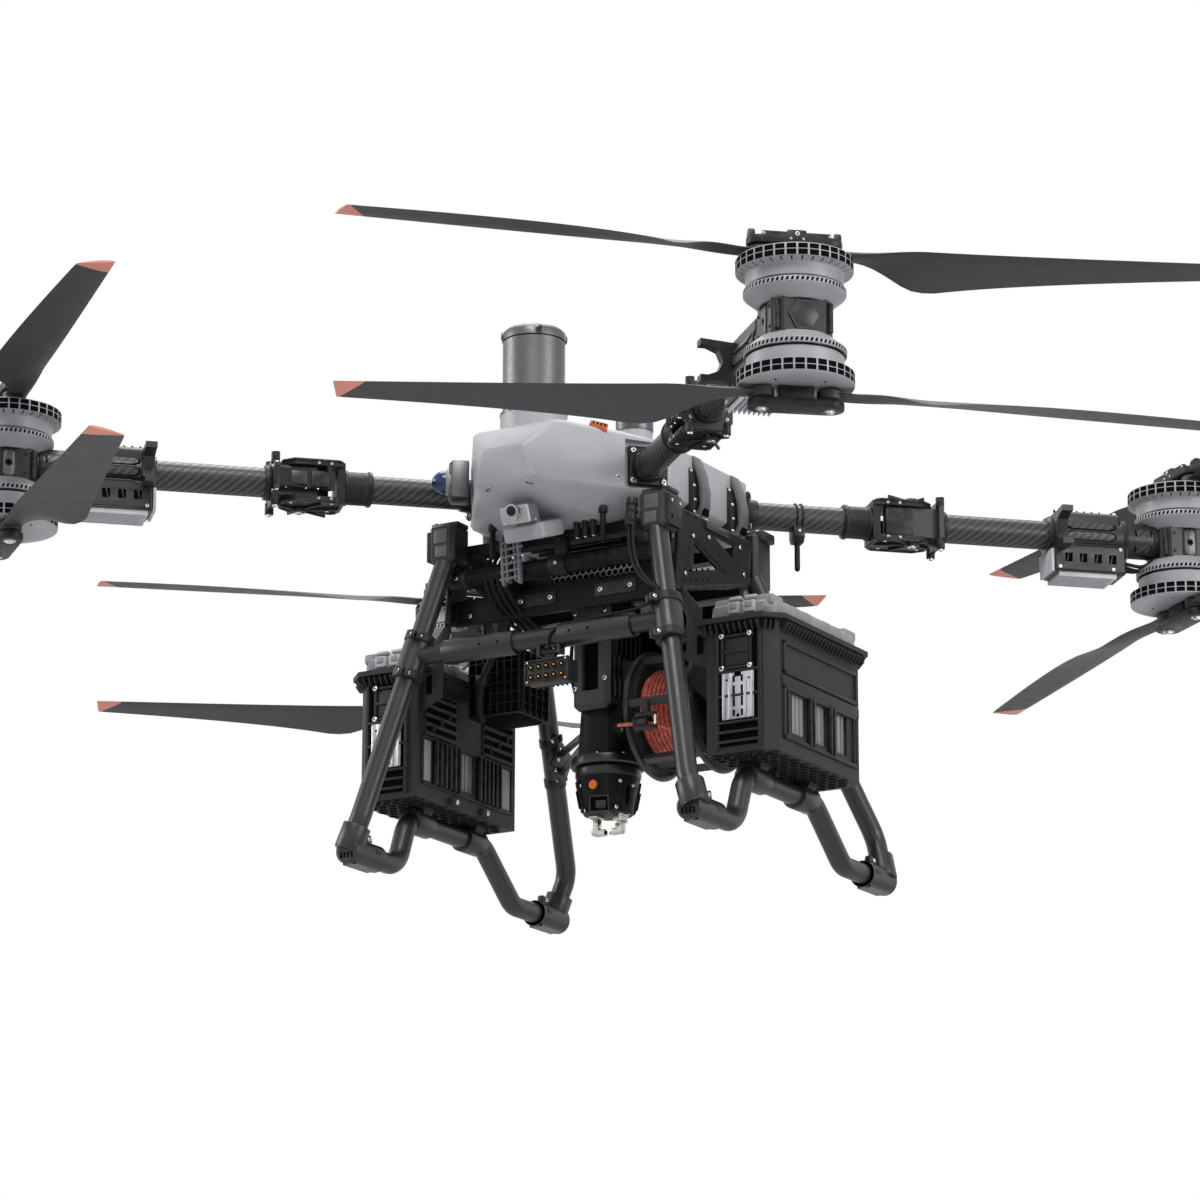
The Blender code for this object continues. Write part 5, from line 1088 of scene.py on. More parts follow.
def belly_fittings():
    """What hangs under the body: clamp pads, ladder bracket, honeycomb tray, beam plates and plugs."""
    part = Sculpt()
    for side in (-1, 1):
        part.here = mirrored(side)
        part.block(DIM_GREY, (0.030, 0.004, 0.028), (0.232, -0.2375, 0.641), edge=0.0016)
        part.block(DIM_GREY, (0.026, 0.004, 0.022), (0.230, -0.2375, 0.611), edge=0.0016)
        part.block(BLACK, (0.012, 0.050, 0.060), (0.2615, -0.207, 0.625), edge=0.0030)
        part.block(CHARCOAL, (0.060, 0.040, 0.010), (0.232, -0.204, 0.6665), edge=0.0030)
        # Painted shade: this clamp screw is near-black.
        part.screw((0.2675, -0.222, 0.612), (1, 0, 0), 0.0036, 0.0012, shade=PAINTED_SHADE)
        for y in (-0.192, -0.222):
            part.screw((0.252, y, 0.6715), (0, 0, 1), 0.0036, 0.0022)
            part.screw((0.2675, y, 0.642), (1, 0, 0), 0.0034, 0.0020)
        part.block(BLACK, (0.060, 0.050, 0.020), (0.240, 0.148, 0.662), edge=0.0040)
        for y, z in ((-0.120, 0.600), (-0.060, 0.612), (0.060, 0.622), (-0.150, 0.520), (0.075, 0.572)):
            part.screw((0.2545, y, z), (1, 0, 0), 0.0042, 0.0024)
        # Painted shade: near-black dots for the shade in holes of the side plate.
        for k, z in product(range(5), (0.505, 0.525)):
            y, low = -0.150 + 0.022 * k, z + 0.006 * k
            part.rod(PAINTED_SHADE, 0.0028, (0.2530, y, low), (0.2543, y, low), 12)
        outlined(part, FRAME_BLACK_AND_SHADE, 0.0058, [(0.250, y, z) for y, z in CHEEK], 14)
        part.block(CHARCOAL, (0.004, 0.085, 0.014), (0.2550, -0.028, 0.634), edge=0.0015)
        cheek_border(part, (CHEEK[0], CHEEK[2], CHEEK[3]), 0.56, 0.30)
        cheek_border(part, CHEEK[:3], 0.56, 0.34)
    part.here = HOME
    lean = about("Y", -4)
    for k in range(2):
        part.block(STEEL_GREY, (0.006, 0.010, 0.098), (-0.112 + 0.036 * k, -0.204, 0.582), lean, 0.0012)
        part.block(STEEL_GREY, (0.004, 0.016, 0.086), (-0.103 + 0.018 * k, -0.200, 0.582), lean)
    for k in range(6):
        rung = (-0.0935 + 0.0010 * k, -0.207, 0.546 + 0.0145 * k)
        part.block(STEEL_GREY, (0.046, 0.005, 0.004), rung, lean, 0.0008)
    part.block(BLACK, (0.050, 0.020, 0.016), (-0.094, -0.188, 0.566), edge=0.003)
    # Painted shade: the honeycomb cells have near-black floors for the shade inside them.
    part.comb(PALE, PAINTED_SHADE, (-0.042, -0.139), (0.153, -0.074), 0.5280, 0.0050, 0.0088, 0.0014)
    part.here = moved((0, -0.1432, 0.550)) @ about("X", -90)
    part.comb(PALE, PAINTED_SHADE, (-0.043, -0.0150), (0.154, 0.0150), 0.0, 0.0032, 0.0074, 0.0013)
    part.here = HOME
    for x in (-0.100, -0.035, 0.075, 0.140):
        part.screw((x, -0.1580, 0.512), (0, -1, 0), 0.0052, 0.0026)
    for x in (-0.0675, 0.1075):
        part.block(BLACK, (0.090, 0.003, 0.026), (x, -0.1568, 0.512))
    for x in both(0.215):
        part.screw((x, -0.1562, 0.500), (0, -1, 0), 0.0046, 0.0024)
    for x in (-0.220, 0.0, 0.220):
        part.rod(BLACK, 0.0205, (x - 0.018, -0.178, 0.565), (x + 0.018, -0.178, 0.565), 32, edge=0.0012)
        part.block(BLACK, (0.024, 0.020, 0.044), (x, -0.170, 0.598), edge=0.002)
        part.screw((x, -0.1990, 0.565), (0, -1, 0), 0.0038, 0.0024)
    for k in range(3):
        x = 0.050 + 0.018 * k
        part.rod(BLACK, 0.0065, (x, -0.205, 0.652), (x, -0.200, 0.606), 18, edge=0.001)
        part.screw((x, -0.2000, 0.606), (0, -0.1, -1), 0.0042, 0.0026)
    part.rod(BLACK, 0.0100, (0.193, -0.240, 0.652), (0.189, -0.244, 0.598), 24, edge=0.0015)
    for z in (0.642, 0.628, 0.610):
        part.rod(RUBBER, 0.0114, (0.1925, -0.2405, z), (0.1922, -0.2408, z - 0.005), 24, edge=0.0008)
    for k in range(8):
        part.block(FRAME_BLACK_AND_SHADE, (0.200, 0.006, 0.012), (0.0, -0.120 + 0.028 * k, 0.622))
    part.piece("belly_fittings", "frame")


LIGHT_LEAD = ((0.189, -0.243, 0.606), (0.187, -0.246, 0.585), (0.190, -0.247, 0.545), (0.208, -0.252, 0.500),
              (0.238, -0.262, 0.474))
BAR_LEAD = ((0.262, -0.268, 0.462), (0.266, -0.282, 0.436), (0.240, -0.280, 0.4235), (0.150, -0.270, 0.4245),
            (0.080, -0.266, 0.4240), (0.040, -0.274, 0.415), (0.030, -0.276, 0.395), (0.026, -0.258, 0.378))
WINCH_LEAD = ((0, -0.150, 0.622), (-0.004, -0.172, 0.600), (-0.002, -0.196, 0.560), (0.010, -0.186, 0.515),
              (0.020, -0.140, 0.480), (0.040, -0.090, 0.455), (0.055, -0.060, 0.440))


def belly_cables():
    """Leads from the body to the lights and the winch, tied to the frame as they go."""
    for k in range(2):
        route = [(x + 0.009 * k, y, z) for x, y, z in LIGHT_LEAD]
        lead(f"light_lead_{k}", route + [(0.262, -0.262, 0.462)], 0.0034)
    lead("light_lead_bar", BAR_LEAD, 0.0026)
    for k in range(4):
        lead(f"winch_lead_{k}", [(x - 0.160 + 0.014 * k, y, z) for x, y, z in WINCH_LEAD], 0.0042)


# Battery boxes


BOX_IN = 0.3155
BOX_OUT = 0.4565
BOX_FRONT = -0.180
BOX_BACK = 0.174
BRACKET_X = 0.384
WINDOW_Z = 0.2310


def box_front_trim(part):
    """Screwed frame, slotted metal bracket and ribs on the front wall."""
    y = BOX_FRONT
    for x in (0.340, 0.4285):
        part.block(BOX_DARK, (0.007, 0.010, 0.228), (x, y, 0.279))
    # Painted shade: a near-black sheet behind the bracket for the shade there.
    part.block(PAINTED_SHADE, (0.084, 0.0012, 0.222), (BRACKET_X, y, 0.279), edge=0)
    for z in (0.376, 0.3455, 0.315):
        part.block(BOX_DARK, (0.066, 0.008, 0.005), (0.380, y - 0.001, z), edge=0.0008)
    for x in (0.351, 0.4096):
        part.block(BOX_DARK, (0.005, 0.008, 0.066), (x, y - 0.001, 0.3455), edge=0.0008)
        for z in (0.376, 0.315):
            part.rod(BOX_DARK, 0.0072, (x, y, z), (x, y - 0.0062, z), 22, edge=0.0008)
            part.screw((x, y - 0.0062, z), (0, -1, 0), 0.0050, 0.0024)
    part.block(BOX_DARK, (0.050, 0.005, 0.052), (0.380, y + 0.0005, 0.3455))
    for z in (0.308, 0.262, 0.212, 0.194, 0.176):
        part.block(BOX_DARK, (0.090, 0.011, 0.0045), (BRACKET_X, y - 0.001, z), edge=0.0008)
    part.block(ZINC, (0.066, 0.004, 0.088), (BRACKET_X, y - 0.0030, 0.2615), edge=0.0008)
    for x in (-0.029, -0.016, 0.016, 0.029):
        part.block(ZINC, (0.005, 0.004, 0.086), (BRACKET_X + x, y - 0.0062, 0.2615))
    # Painted shade: near-black slots and holes in the bracket.
    for x in both(0.0085):
        for k, tall in enumerate((0.012, 0.018, 0.018, 0.012)):
            part.block(PAINTED_SHADE, (0.0042, 0.0012, tall), (BRACKET_X + x, y - 0.0049, 0.2930 - 0.0215 * k), edge=0)
    part.block(PAINTED_SHADE, (0.014, 0.0014, 0.010), (BRACKET_X, y - 0.0048, 0.3020), edge=0)
    part.rod(PAINTED_SHADE, 0.0032, (BRACKET_X, y, 0.2235), (BRACKET_X, y - 0.0054, 0.2235), 18)
    for x in both(0.023):
        part.rod(PAINTED_SHADE, 0.0022, (BRACKET_X + x, y, 0.2920), (BRACKET_X + x, y - 0.0054, 0.2920), 14)


def framed(part, x, out, low, high, wide=0.006, deep=0.005):
    """A raised border round a panel of a side wall, given by its corners (y, z)."""
    middle_y, middle_z = (low[0] + high[0]) / 2, (low[1] + high[1]) / 2
    x += out * deep * 0.3
    for z in (low[1], high[1]):
        part.block(BOX_DARK, (deep, high[0] - low[0] + wide, wide), (x, middle_y, z), edge=0.0018)
    for y in (low[0], high[0]):
        part.block(BOX_DARK, (deep, wide, high[1] - low[1] + wide), (x, y, middle_z), edge=0.0018)


def box_outer_trim(part):
    """Sunk panel, raised band and window bars of the outer wall."""
    x = BOX_OUT
    framed(part, x, 1, (-0.143, 0.306), (0.139, 0.362), 0.008, 0.006)
    part.block(BOX_DARK, (0.010, 0.298, 0.022), (x, -0.002, 0.288), edge=0.0035)
    framed(part, x, 1, (-0.143, 0.184), (0.139, 0.2765), 0.008, 0.006)
    # Painted shade: a near-black sheet behind each pair of window bars, for the shade in the window.
    for middle in (-0.043, 0.037):
        part.block(PAINTED_SHADE, (0.002, 0.0240, 0.082), (x, middle, 0.2320), edge=0)
        for y in both(0.0065):
            part.block(BLACK, (0.013, 0.0050, 0.092), (x + 0.002, middle + y, WINDOW_Z), edge=0.0012)
    for y in (-0.131, 0.127):
        part.block(BLACK, (0.008, 0.004, 0.086), (x + 0.001, y, WINDOW_Z))


def box_inner_trim(part):
    """Two louvred vents, groups of fins over the windows, and the foot screws of the inner wall."""
    x = BOX_IN
    # Painted shade: near-black sheets behind the louvres.
    for y0, y1 in ((-0.155, -0.046), (0.052, 0.160)):
        middle = (y0 + y1) / 2
        part.block(PAINTED_SHADE, (0.002, y1 - y0, 0.090), (x, middle, 0.322), edge=0)
        for k in range(5):
            louvre = (x - 0.001, middle, 0.286 + 0.018 * k)
            part.block(BOX_DARK, (0.008, y1 - y0, 0.0070), louvre, about("Y", -25))
        for k in range(3):
            post = (x - 0.002, middle - 0.030 + 0.030 * k, 0.295 + 0.018 * k)
            part.block(BOX_DARK, (0.010, 0.004, 0.014), post)
        framed(part, x, -1, (y0, 0.277), (y1, 0.367), 0.004, 0.004)
    # Painted shade: near-black sheets behind the fins over the windows.
    for y0, y1 in ((-0.127, -0.036), (0.030, 0.112)):
        part.block(PAINTED_SHADE, (0.004, y1 - y0, 0.086), (x - 0.001, (y0 + y1) / 2, WINDOW_Z), edge=0)
        for k in range(6):
            y = y0 + 0.004 + (y1 - y0 - 0.008) * k / 5
            part.block(BLACK, (0.013, 0.0055, 0.088), (x - 0.004, y, WINDOW_Z), edge=0.0012)
    for y0, y1 in ((-0.160, -0.134), (0.119, 0.152)):
        part.block(LID_GREY, (0.003, y1 - y0, 0.080), (x, (y0 + y1) / 2, WINDOW_Z), edge=0.0008)
    framed(part, x, -1, (-0.164, 0.186), (0.156, 0.2765), 0.006, 0.005)
    for y in (-0.050, 0.060):
        part.block(BOX_DARK, (0.012, 0.030, 0.016), (x - 0.002, y, 0.168), edge=0.0030)
        part.screw((x - 0.0080, y, 0.168), (-1, 0, 0), 0.0050, 0.0026)


def rim_ribs(part):
    """The row of small webs under the rim, all round the box."""
    def web(x, y, turn):
        part.block(BOX_DARK, (0.017, 0.0032, 0.018), (x, y, 0.3920), turn, 0.0006)

    out, inward = about("Y", 38), about("Y", -38)
    for k in range(25):
        web(BOX_OUT + 0.0075, -0.154 + 0.0125 * k, out)
    for k in range(28):
        web(BOX_IN - 0.0075, -0.172 + 0.0125 * k, inward)
    for end, y in ((-1, BOX_FRONT), (1, BOX_BACK)):
        for k in range(10):
            web(0.3200 + 0.0122 * k, y + end * 0.0075, about("Z", 90 * end) @ out)
        for k in range(3):
            web(0.4390 + 0.0065 * k, y + end * (0.0020 - 0.0065 * k), about("Z", 45 * end) @ out)


def lid_trim(part):
    """Stepped corners, side blocks, clips and panel lines of the battery's lid and case."""
    top = 0.444
    for x, y in product((0.346, 0.428), (-0.146, 0.140)):
        part.block(LID_GREY, (0.040, 0.046, 0.020), (x, y, top - 0.002), edge=0.0050)
    for y, x in product((-0.085, -0.040, 0.034, 0.079), (0.4475, 0.3245)):
        part.block(LID_GREY, (0.012, 0.032, 0.024), (x, y, 0.430), edge=0.0035)
    part.block(LID_GREY, (0.066, 0.210, 0.008), (0.387, -0.003, top), edge=0.0030)
    for x in (0.372, 0.404):
        part.block(PALE, (0.024, 0.010, 0.022), (x, -0.1745, 0.430), edge=0.0025)
        part.block(LID_GREY, (0.016, 0.012, 0.012), (x, -0.1755, 0.433), edge=0.0020)
        part.block(PALE, (0.026, 0.030, 0.006), (x, -0.158, 0.446), about("X", -18), 0.0020)
    part.block(PALE, (0.020, 0.010, 0.020), (0.388, 0.1690, 0.430), edge=0.0025)
    lines = (-0.100, -0.086, -0.070, -0.018, 0.000, 0.016, 0.060, 0.078, 0.094)
    for x, y in product((BOX_IN + 0.0078, BOX_OUT - 0.0078), lines):
        part.block(DIM_GREY, (0.0012, 0.0018, 0.076), (x, y, 0.235), edge=0.0003)


def fit_boxes():
    """Trim of both battery boxes, and of the lids that lift out with the batteries."""
    for label, side in SIDES:
        part = Sculpt()
        part.here = mirrored(side)
        box_front_trim(part)
        box_outer_trim(part)
        box_inner_trim(part)
        rim_ribs(part)
        # Painted shade: the comb cells under each box have near-black floors.
        for low, high in (((0.318, -0.157), (0.4545, 0.151)), ((0.318, -0.1785), (0.434, -0.157))):
            part.comb(BOX_DARK, PAINTED_SHADE, low, high, 0.1505, 0.0040, 0.0125, 0.0013)
        part.piece("box_trim_" + label, "frame")
        lid = Sculpt()
        lid.here = mirrored(side)
        lid_trim(lid)
        lid.piece("lid_trim_" + label, "battery_" + label)


# Winch


DRUM = Vector((0.172, 0, 0.2955))
COLUMN_FACE = -0.0700
WINCH_HOSE = ((-0.150, -0.140, 0.500), (-0.165, -0.124, 0.468), (-0.196, -0.092, 0.440),
              (-0.228, -0.078, 0.410), (-0.240, -0.078, 0.370), (-0.246, -0.072, 0.340),
              (-0.252, -0.050, 0.322))
COLUMN_LEAD = ((-0.044, -0.030, 0.505), (-0.062, -0.034, 0.470), (-0.064, -0.036, 0.400),
               (-0.058, -0.030, 0.350), (-0.045, -0.022, 0.325))
CAGE_RIM = ((0.1060, 0.0610), (0.1205, 0.0600), (0.1240, 0.0635), (0.1240, 0.0665), (0.1205, 0.0705),
            (0.1060, 0.0700))
HANGER = ((0.315, 0.322), (0.315, 0.392), (0.300, 0.392), (0.300, 0.440), (0.258, 0.490), (0.250, 0.490),
          (0.250, 0.470), (0.267, 0.430), (0.267, 0.345))


def rope_shader():
    """Coral braided rope with pale tracer flecks."""
    shade = Shader("rope_coral", (0.56, 0.085, 0.050), 0.62)
    fleck = shade.ramp(shade.noise(330, 2), 0, 1, 0.60, 0.66)
    cloud = shade.ramp(shade.noise(70, 4), 0, 1, 0.35, 0.65)
    drift = shade.mix(cloud, (0.40, 0.050, 0.030), (0.64, 0.115, 0.070))
    shade.paint(shade.mix(fleck, drift, (0.80, 0.52, 0.46)))
    return shade.relief(shade.noise(1100, 3), 0.0006)


ROPE = rope_shader()


def fit_winch():
    """Rope, column and cage trim, motor housing, hook and spotlight trim, and the leads beside them."""
    for node in ("rope_winding", "rope_lead"):
        rounder = dressed(node, ROPE, 0).modifiers.new("round", "SUBSURF")
        rounder.levels = rounder.render_levels = 1
    under = Sculpt()
    under.here = moved(DRUM) @ about("Y", 90)
    profile = [(0.0790, -0.0548)]
    for k in range(37):
        crest = -0.0540 + 0.0030 * k
        profile += [(0.0812, crest - 0.0009), (0.0820, crest), (0.0812, crest + 0.0009)]
    under.lathe(ROPE, profile + [(0.0790, 0.0548)], 72)
    under.piece("rope_under_layer", "drum")
    part = Sculpt()
    for x, z in ((-0.0330, 0.352), (0.0330, 0.366)):
        part.screw((x, COLUMN_FACE, z), (0, -1, 0), 0.0050, 0.0026)
    for x in both(0.0330):
        part.screw((x, COLUMN_FACE, 0.500), (0, -1, 0), 0.0046, 0.0024)
    # Painted shade: a near-black sheet in the column's slot.
    part.block(PAINTED_SHADE, (0.034, 0.002, 0.148), (0, -0.0585, 0.417), edge=0.0)
    for side, k in product((-1, 1), range(6)):
        part.block(BLACK, (0.004, 0.006, 0.170), (side * 0.0425, -0.050 + 0.017 * k, 0.418))
    part.rod(FRAME_BLACK_AND_SHADE, 0.0092, (0.0500, -0.048, 0.2672), (0.0905, -0.1185, 0.2549), 26, 0.008, edge=0.001)
    part.lathe(CHARCOAL, [(0.0575, 0.2265), (0.0700, 0.2232), (0.0722, 0.2195), (0.0722, 0.2085),
                          (0.0700, 0.2058), (0.0660, 0.2058)], 72)
    for k in range(8):
        out = about("Z", 45 * k + 12) @ Vector((0.0640, 0, 0.2246))
        part.screw(out, (0, 0, 1), 0.0024, 0.0014)
    gearbox(part)
    drum_carrier(part)
    part.piece("winch_trim", "frame")
    box_hangers()
    cage_trim()
    hook_trim()
    spotlight_trim()
    lead("winch_hose", WINCH_HOSE, 0.0085)
    for k in range(2):
        lead(f"column_lead_{k}", [(x, y + 0.02 * k, z) for x, y, z in COLUMN_LEAD], 0.0036)


def drum_carrier(part):
    """The ribbed black plate behind the drum, between the column, the cage and the tray, all near-black painted
    shade.
    """
    part.block(PAINTED_SHADE, (0.225, 0.004, 0.118), (0.1225, 0.062, 0.457), edge=0.0008)
    for k in range(9):
        part.block(PAINTED_SHADE, (0.004, 0.018, 0.114), (0.052 + 0.0215 * k, 0.062, 0.457), edge=0.0006)
    for x, z in product((0.0628, 0.2133), (0.412, 0.502)):
        part.screw((x, 0.064, z), (0, 1, 0), 0.0042, 0.0024)


def box_hangers():
    """Plates that carry the inner front corner of each battery box from the side plate above it."""
    part = Sculpt()
    for side in (-1, 1):
        outline = [(side * x, z) for x, z in HANGER][::side]
        part.prism(BOX_DARK, outline, 0.004, (0, -0.168, 0), UPRIGHT, 0.0008)
        # Painted shade: a near-black slot in each plate.
        part.block(PAINTED_SHADE, (0.013, 0.0012, 0.036), (side * 0.297, -0.1704, 0.372), edge=0.0003)
    part.piece("box_hangers", "frame")


def gearbox(part):
    """The ribbed winch motor housing on the right of the column; its core under the ribs is near-black painted
    shade.
    """
    size, middle = Vector((0.124, 0.114, 0.144)), Vector((-0.220, -0.005, 0.390))
    part.block(PAINTED_SHADE, size - Vector((0.008, 0.008, 0.008)), middle, edge=0.016)
    for axis, count, margin, rib in ((0, 8, 0.006, (0.0022, size.y, size.z - 0.018)),
                                     (2, 7, 0.010, (size.x - 0.006, size.y, 0.0022)),
                                     (1, 5, 0.012, (size.x, 0.0022, size.z - 0.020))):
        for k in range(count):
            at = middle.copy()
            at[axis] += (size[axis] - 2 * margin) * (k / (count - 1) - 0.5)
            part.block(FRAME_BLACK_AND_SHADE, rib, at, edge=0.0007)
    part.block(CHARCOAL, (0.024, 0.016, 0.020), (-0.236, -0.078, 0.392), about("Y", 10), 0.0025)
    for y in (-0.035, 0.030):
        part.block(BLACK, (0.008, 0.030, 0.110), (-0.252, y, 0.505), edge=0.002)
        part.screw((-0.2480, y, 0.470), (1, 0, 0), 0.0042, 0.0024)
    part.block(BLACK, (0.120, 0.022, 0.024), (-0.200, -0.020, 0.474), edge=0.004)


def cage_trim():
    """Rounded rims, rib caps, hub and guide rollers of the drum cage."""
    part = Sculpt()
    part.here = moved(DRUM) @ about("Y", 90)
    for side in (-1, 1):
        part.lathe(CHARCOAL, [(radius, side * x) for radius, x in CAGE_RIM], 80)
        part.rod(BLACK, 0.030, (0, 0, side * 0.0680), (0, 0, side * 0.0730), 40, edge=0.0015)
        part.rod(STEEL, 0.0085, (0, 0, side * 0.0720), (0, 0, side * 0.0752), 6, edge=0.0008)
        for k in range(6):
            out = about("Z", 60 * k) @ Vector((0.0225, 0, side * 0.0730))
            part.screw(out, (0, 0, side), 0.0026, 0.0014)
            ear = about("Z", 60 * k + 30) @ Vector((0.1140, 0, side * 0.0702))
            part.screw(ear, (0, 0, side), 0.0032, 0.0018)
    fair = moved((0.150, -0.128, 0.2505))
    part.here = fair @ about("Y", 90)
    for x in both(0.012):
        flange = [(0.0088, x - 0.0025), (0.0150, x - 0.0025), (0.0156, x), (0.0150, x + 0.0025),
                  (0.0088, x + 0.0025), (0.0088, x - 0.0025)]
        part.lathe(BLACK, flange, 40)
    part.here = fair
    for z in (0.0130, -0.0130):
        part.block(BLACK, (0.046, 0.006, 0.008), (0.014, -0.012, z), edge=0.0012)
    part.rod(STEEL, 0.0026, (0.034, -0.012, -0.016), (0.034, -0.012, 0.017), 14)
    part.piece("cage_trim", "frame")


def hook_trim():
    """Screws, sunk panel and ribs of the hook unit; the sunk panel and the slots of the ribs are near-black
    painted shade.
    """
    part = Sculpt()
    for pixel in HOOK_SCREWS_PX:
        point, normal = seen_at("hook_body", pixel)
        if point:
            part.rod(FRAME_BLACK_AND_SHADE, 0.0056, point - normal * 0.002, point + normal * 0.0012, 20, edge=0.0005)
            part.screw(point + normal * 0.0012, normal, 0.0034, 0.0018)
    point, normal = seen_at("hook_body", HOOK_PANEL_PX)
    part.here = moved(point) @ facing(normal)
    part.block(PAINTED_SHADE, (0.034, 0.026, 0.0016), (0, 0, 0), edge=0)
    for x in both(0.0180):
        part.block(CHARCOAL, (0.0030, 0.031, 0.0050), (x, 0, 0.0005), edge=0.0008)
    for y in both(0.0145):
        part.block(CHARCOAL, (0.039, 0.0030, 0.0050), (0, y, 0.0005), edge=0.0008)
    part.block(CHARCOAL, (0.020, 0.014, 0.0030), (0.003, -0.001, 0.0008))
    part.here = HOME
    part.lathe(CHARCOAL, [(0.0585, 0.2030), (0.0620, 0.2020), (0.0630, 0.1985), (0.0630, 0.1890),
                          (0.0612, 0.1850), (0.0580, 0.1842)])
    for turn in (-20, 40, 100, 160, 220):
        part.here = about("Z", turn)
        part.block(FRAME_BLACK_AND_SHADE, (0.008, 0.016, 0.062), (0.0535, 0, 0.1500), about("Y", 11), 0.0022)
        part.block(PAINTED_SHADE, (0.003, 0.007, 0.034), (0.0580, 0, 0.1440), about("Y", 11), 0.0006)
    part.here = moved((0, -0.0560, 0.165)) @ UPRIGHT
    ring = [(0.0112, -0.002), (0.0112, 0.0018), (0.0128, 0.0024), (0.0140, 0.0012), (0.0142, -0.004)]
    part.lathe(FRAME_BLACK_AND_SHADE, ring, 40)
    part.here = HOME
    part.rod(FRAME_BLACK_AND_SHADE, 0.0490, (0, 0, 0.1215), (0, 0, 0.1165), 48, 0.0470, edge=0.001)
    for x in both(0.026):
        part.block(NICKEL, (0.020, 0.030, 0.006), (x, 0, 0.1150), edge=0.0012)
    part.prism(NICKEL, prong_outline(-1, 0.1160), 0.015, turn=UPRIGHT, edge=0.0018)
    part.piece("hook_trim", "hook")
    gate = Sculpt()
    gate.prism(NICKEL, prong_outline(1, 0.0985), 0.015, turn=UPRIGHT, edge=0.0018)
    gate.piece("gate_trim", "hook_gate")


def prong_outline(side, top):
    """Flat jaw of the hook, an L whose foot turns in to the gap."""
    jaw = [(0.0345, top), (0.0345, 0.0830), (0.0295, 0.0780), (0.0050, 0.0780), (0.0050, 0.0895),
           (0.0165, 0.0895), (0.0185, 0.0920), (0.0185, top)]
    return [(side * x, z) for x, z in (jaw if side < 0 else jaw[::-1])]


def spotlight_trim():
    """Two rows of five amber emitters in dark cups, a bezel and cooling fins."""
    part = Sculpt()
    part.here = moved((0.025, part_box("spotlight")[0][1], 0.336))
    part.block(BLACK, (0.088, 0.003, 0.042), (0, -0.0002, 0), edge=0.0012)
    for row, k in product(both(0.0095), range(5)):
        at = Vector((0.0166 * (k - 2), -0.0015, row))
        part.rod(CHARCOAL, 0.0074, at, at + Vector((0, -0.0022, 0)), 26, edge=0.0006)
        # Painted shade: near-black inside each cup.
        part.rod(PAINTED_SHADE, 0.0060, at, at + Vector((0, -0.0026, 0)), 24)
        part.rod(AMBER, 0.0025, at, at + Vector((0, -0.0034, 0)), 18, 0.0018)
    for z in both(0.0215):
        part.block(BLACK, (0.096, 0.006, 0.0035), (0, -0.0010, z))
    for x in (-1, 1):
        part.block(BLACK, (0.0035, 0.006, 0.046), (x * 0.0462, -0.0010, 0))
        for z in both(0.0185):
            part.screw((x * 0.0415, -0.0040, z), (0, -1, 0), 0.0020, 0.0010)
    for k in range(9):
        part.block(BLACK, (0.0026, 0.020, 0.042), (0.0100 * (k - 4), 0.0330, 0), edge=0.0006)
    part.piece("spotlight_trim", "spotlight")


# Landing gear


SKID_X = 0.3667
LEG_R = 0.0198
LEG_TOPS = {"front": Vector((0.2274, -0.2108, 0.620)), "rear": Vector((0.2434, 0.1224, 0.580))}
FEET = {"front": Vector((SKID_X, -0.322, 0.048)), "rear": Vector((SKID_X, 0.412, 0.048))}
SKID_ENDS = {"front": -0.336, "rear": 0.426}
SKID_Z = 0.026
BAR_Y = -0.2537
BAR_Z = 0.404
ARCH_Z = 0.125
LEG_KNEES = {"front": Vector((0.3514, -0.3160, 0.092)), "rear": Vector((0.3474, 0.4250, 0.115))}


def leg_band(part, end, height, ear):
    """A clamp ring on a leg with two ears drawn together by a screw."""
    top, knee = LEG_TOPS[end], LEG_KNEES[end]
    axis = (knee - top).normalized()
    middle = top.lerp(knee, (top.z - height) / (top.z - knee.z))
    radius = 0.0290 if end == "front" else 0.0222
    part.rod(BLACK, radius, middle - axis * 0.009, middle + axis * 0.009, 36, edge=0.0012)
    outward = Vector(ear).normalized()
    across = axis.cross(outward).normalized()
    turn = Matrix((outward, across, axis)).transposed().to_4x4()
    for side in (-1, 1):
        at = middle + outward * (radius + 0.006) + across * side * 0.0055
        part.block(BLACK, (0.018, 0.008, 0.016), at, turn, 0.0016)
        part.screw(at + across * side * 0.0040, across * side, 0.0042, 0.0026)


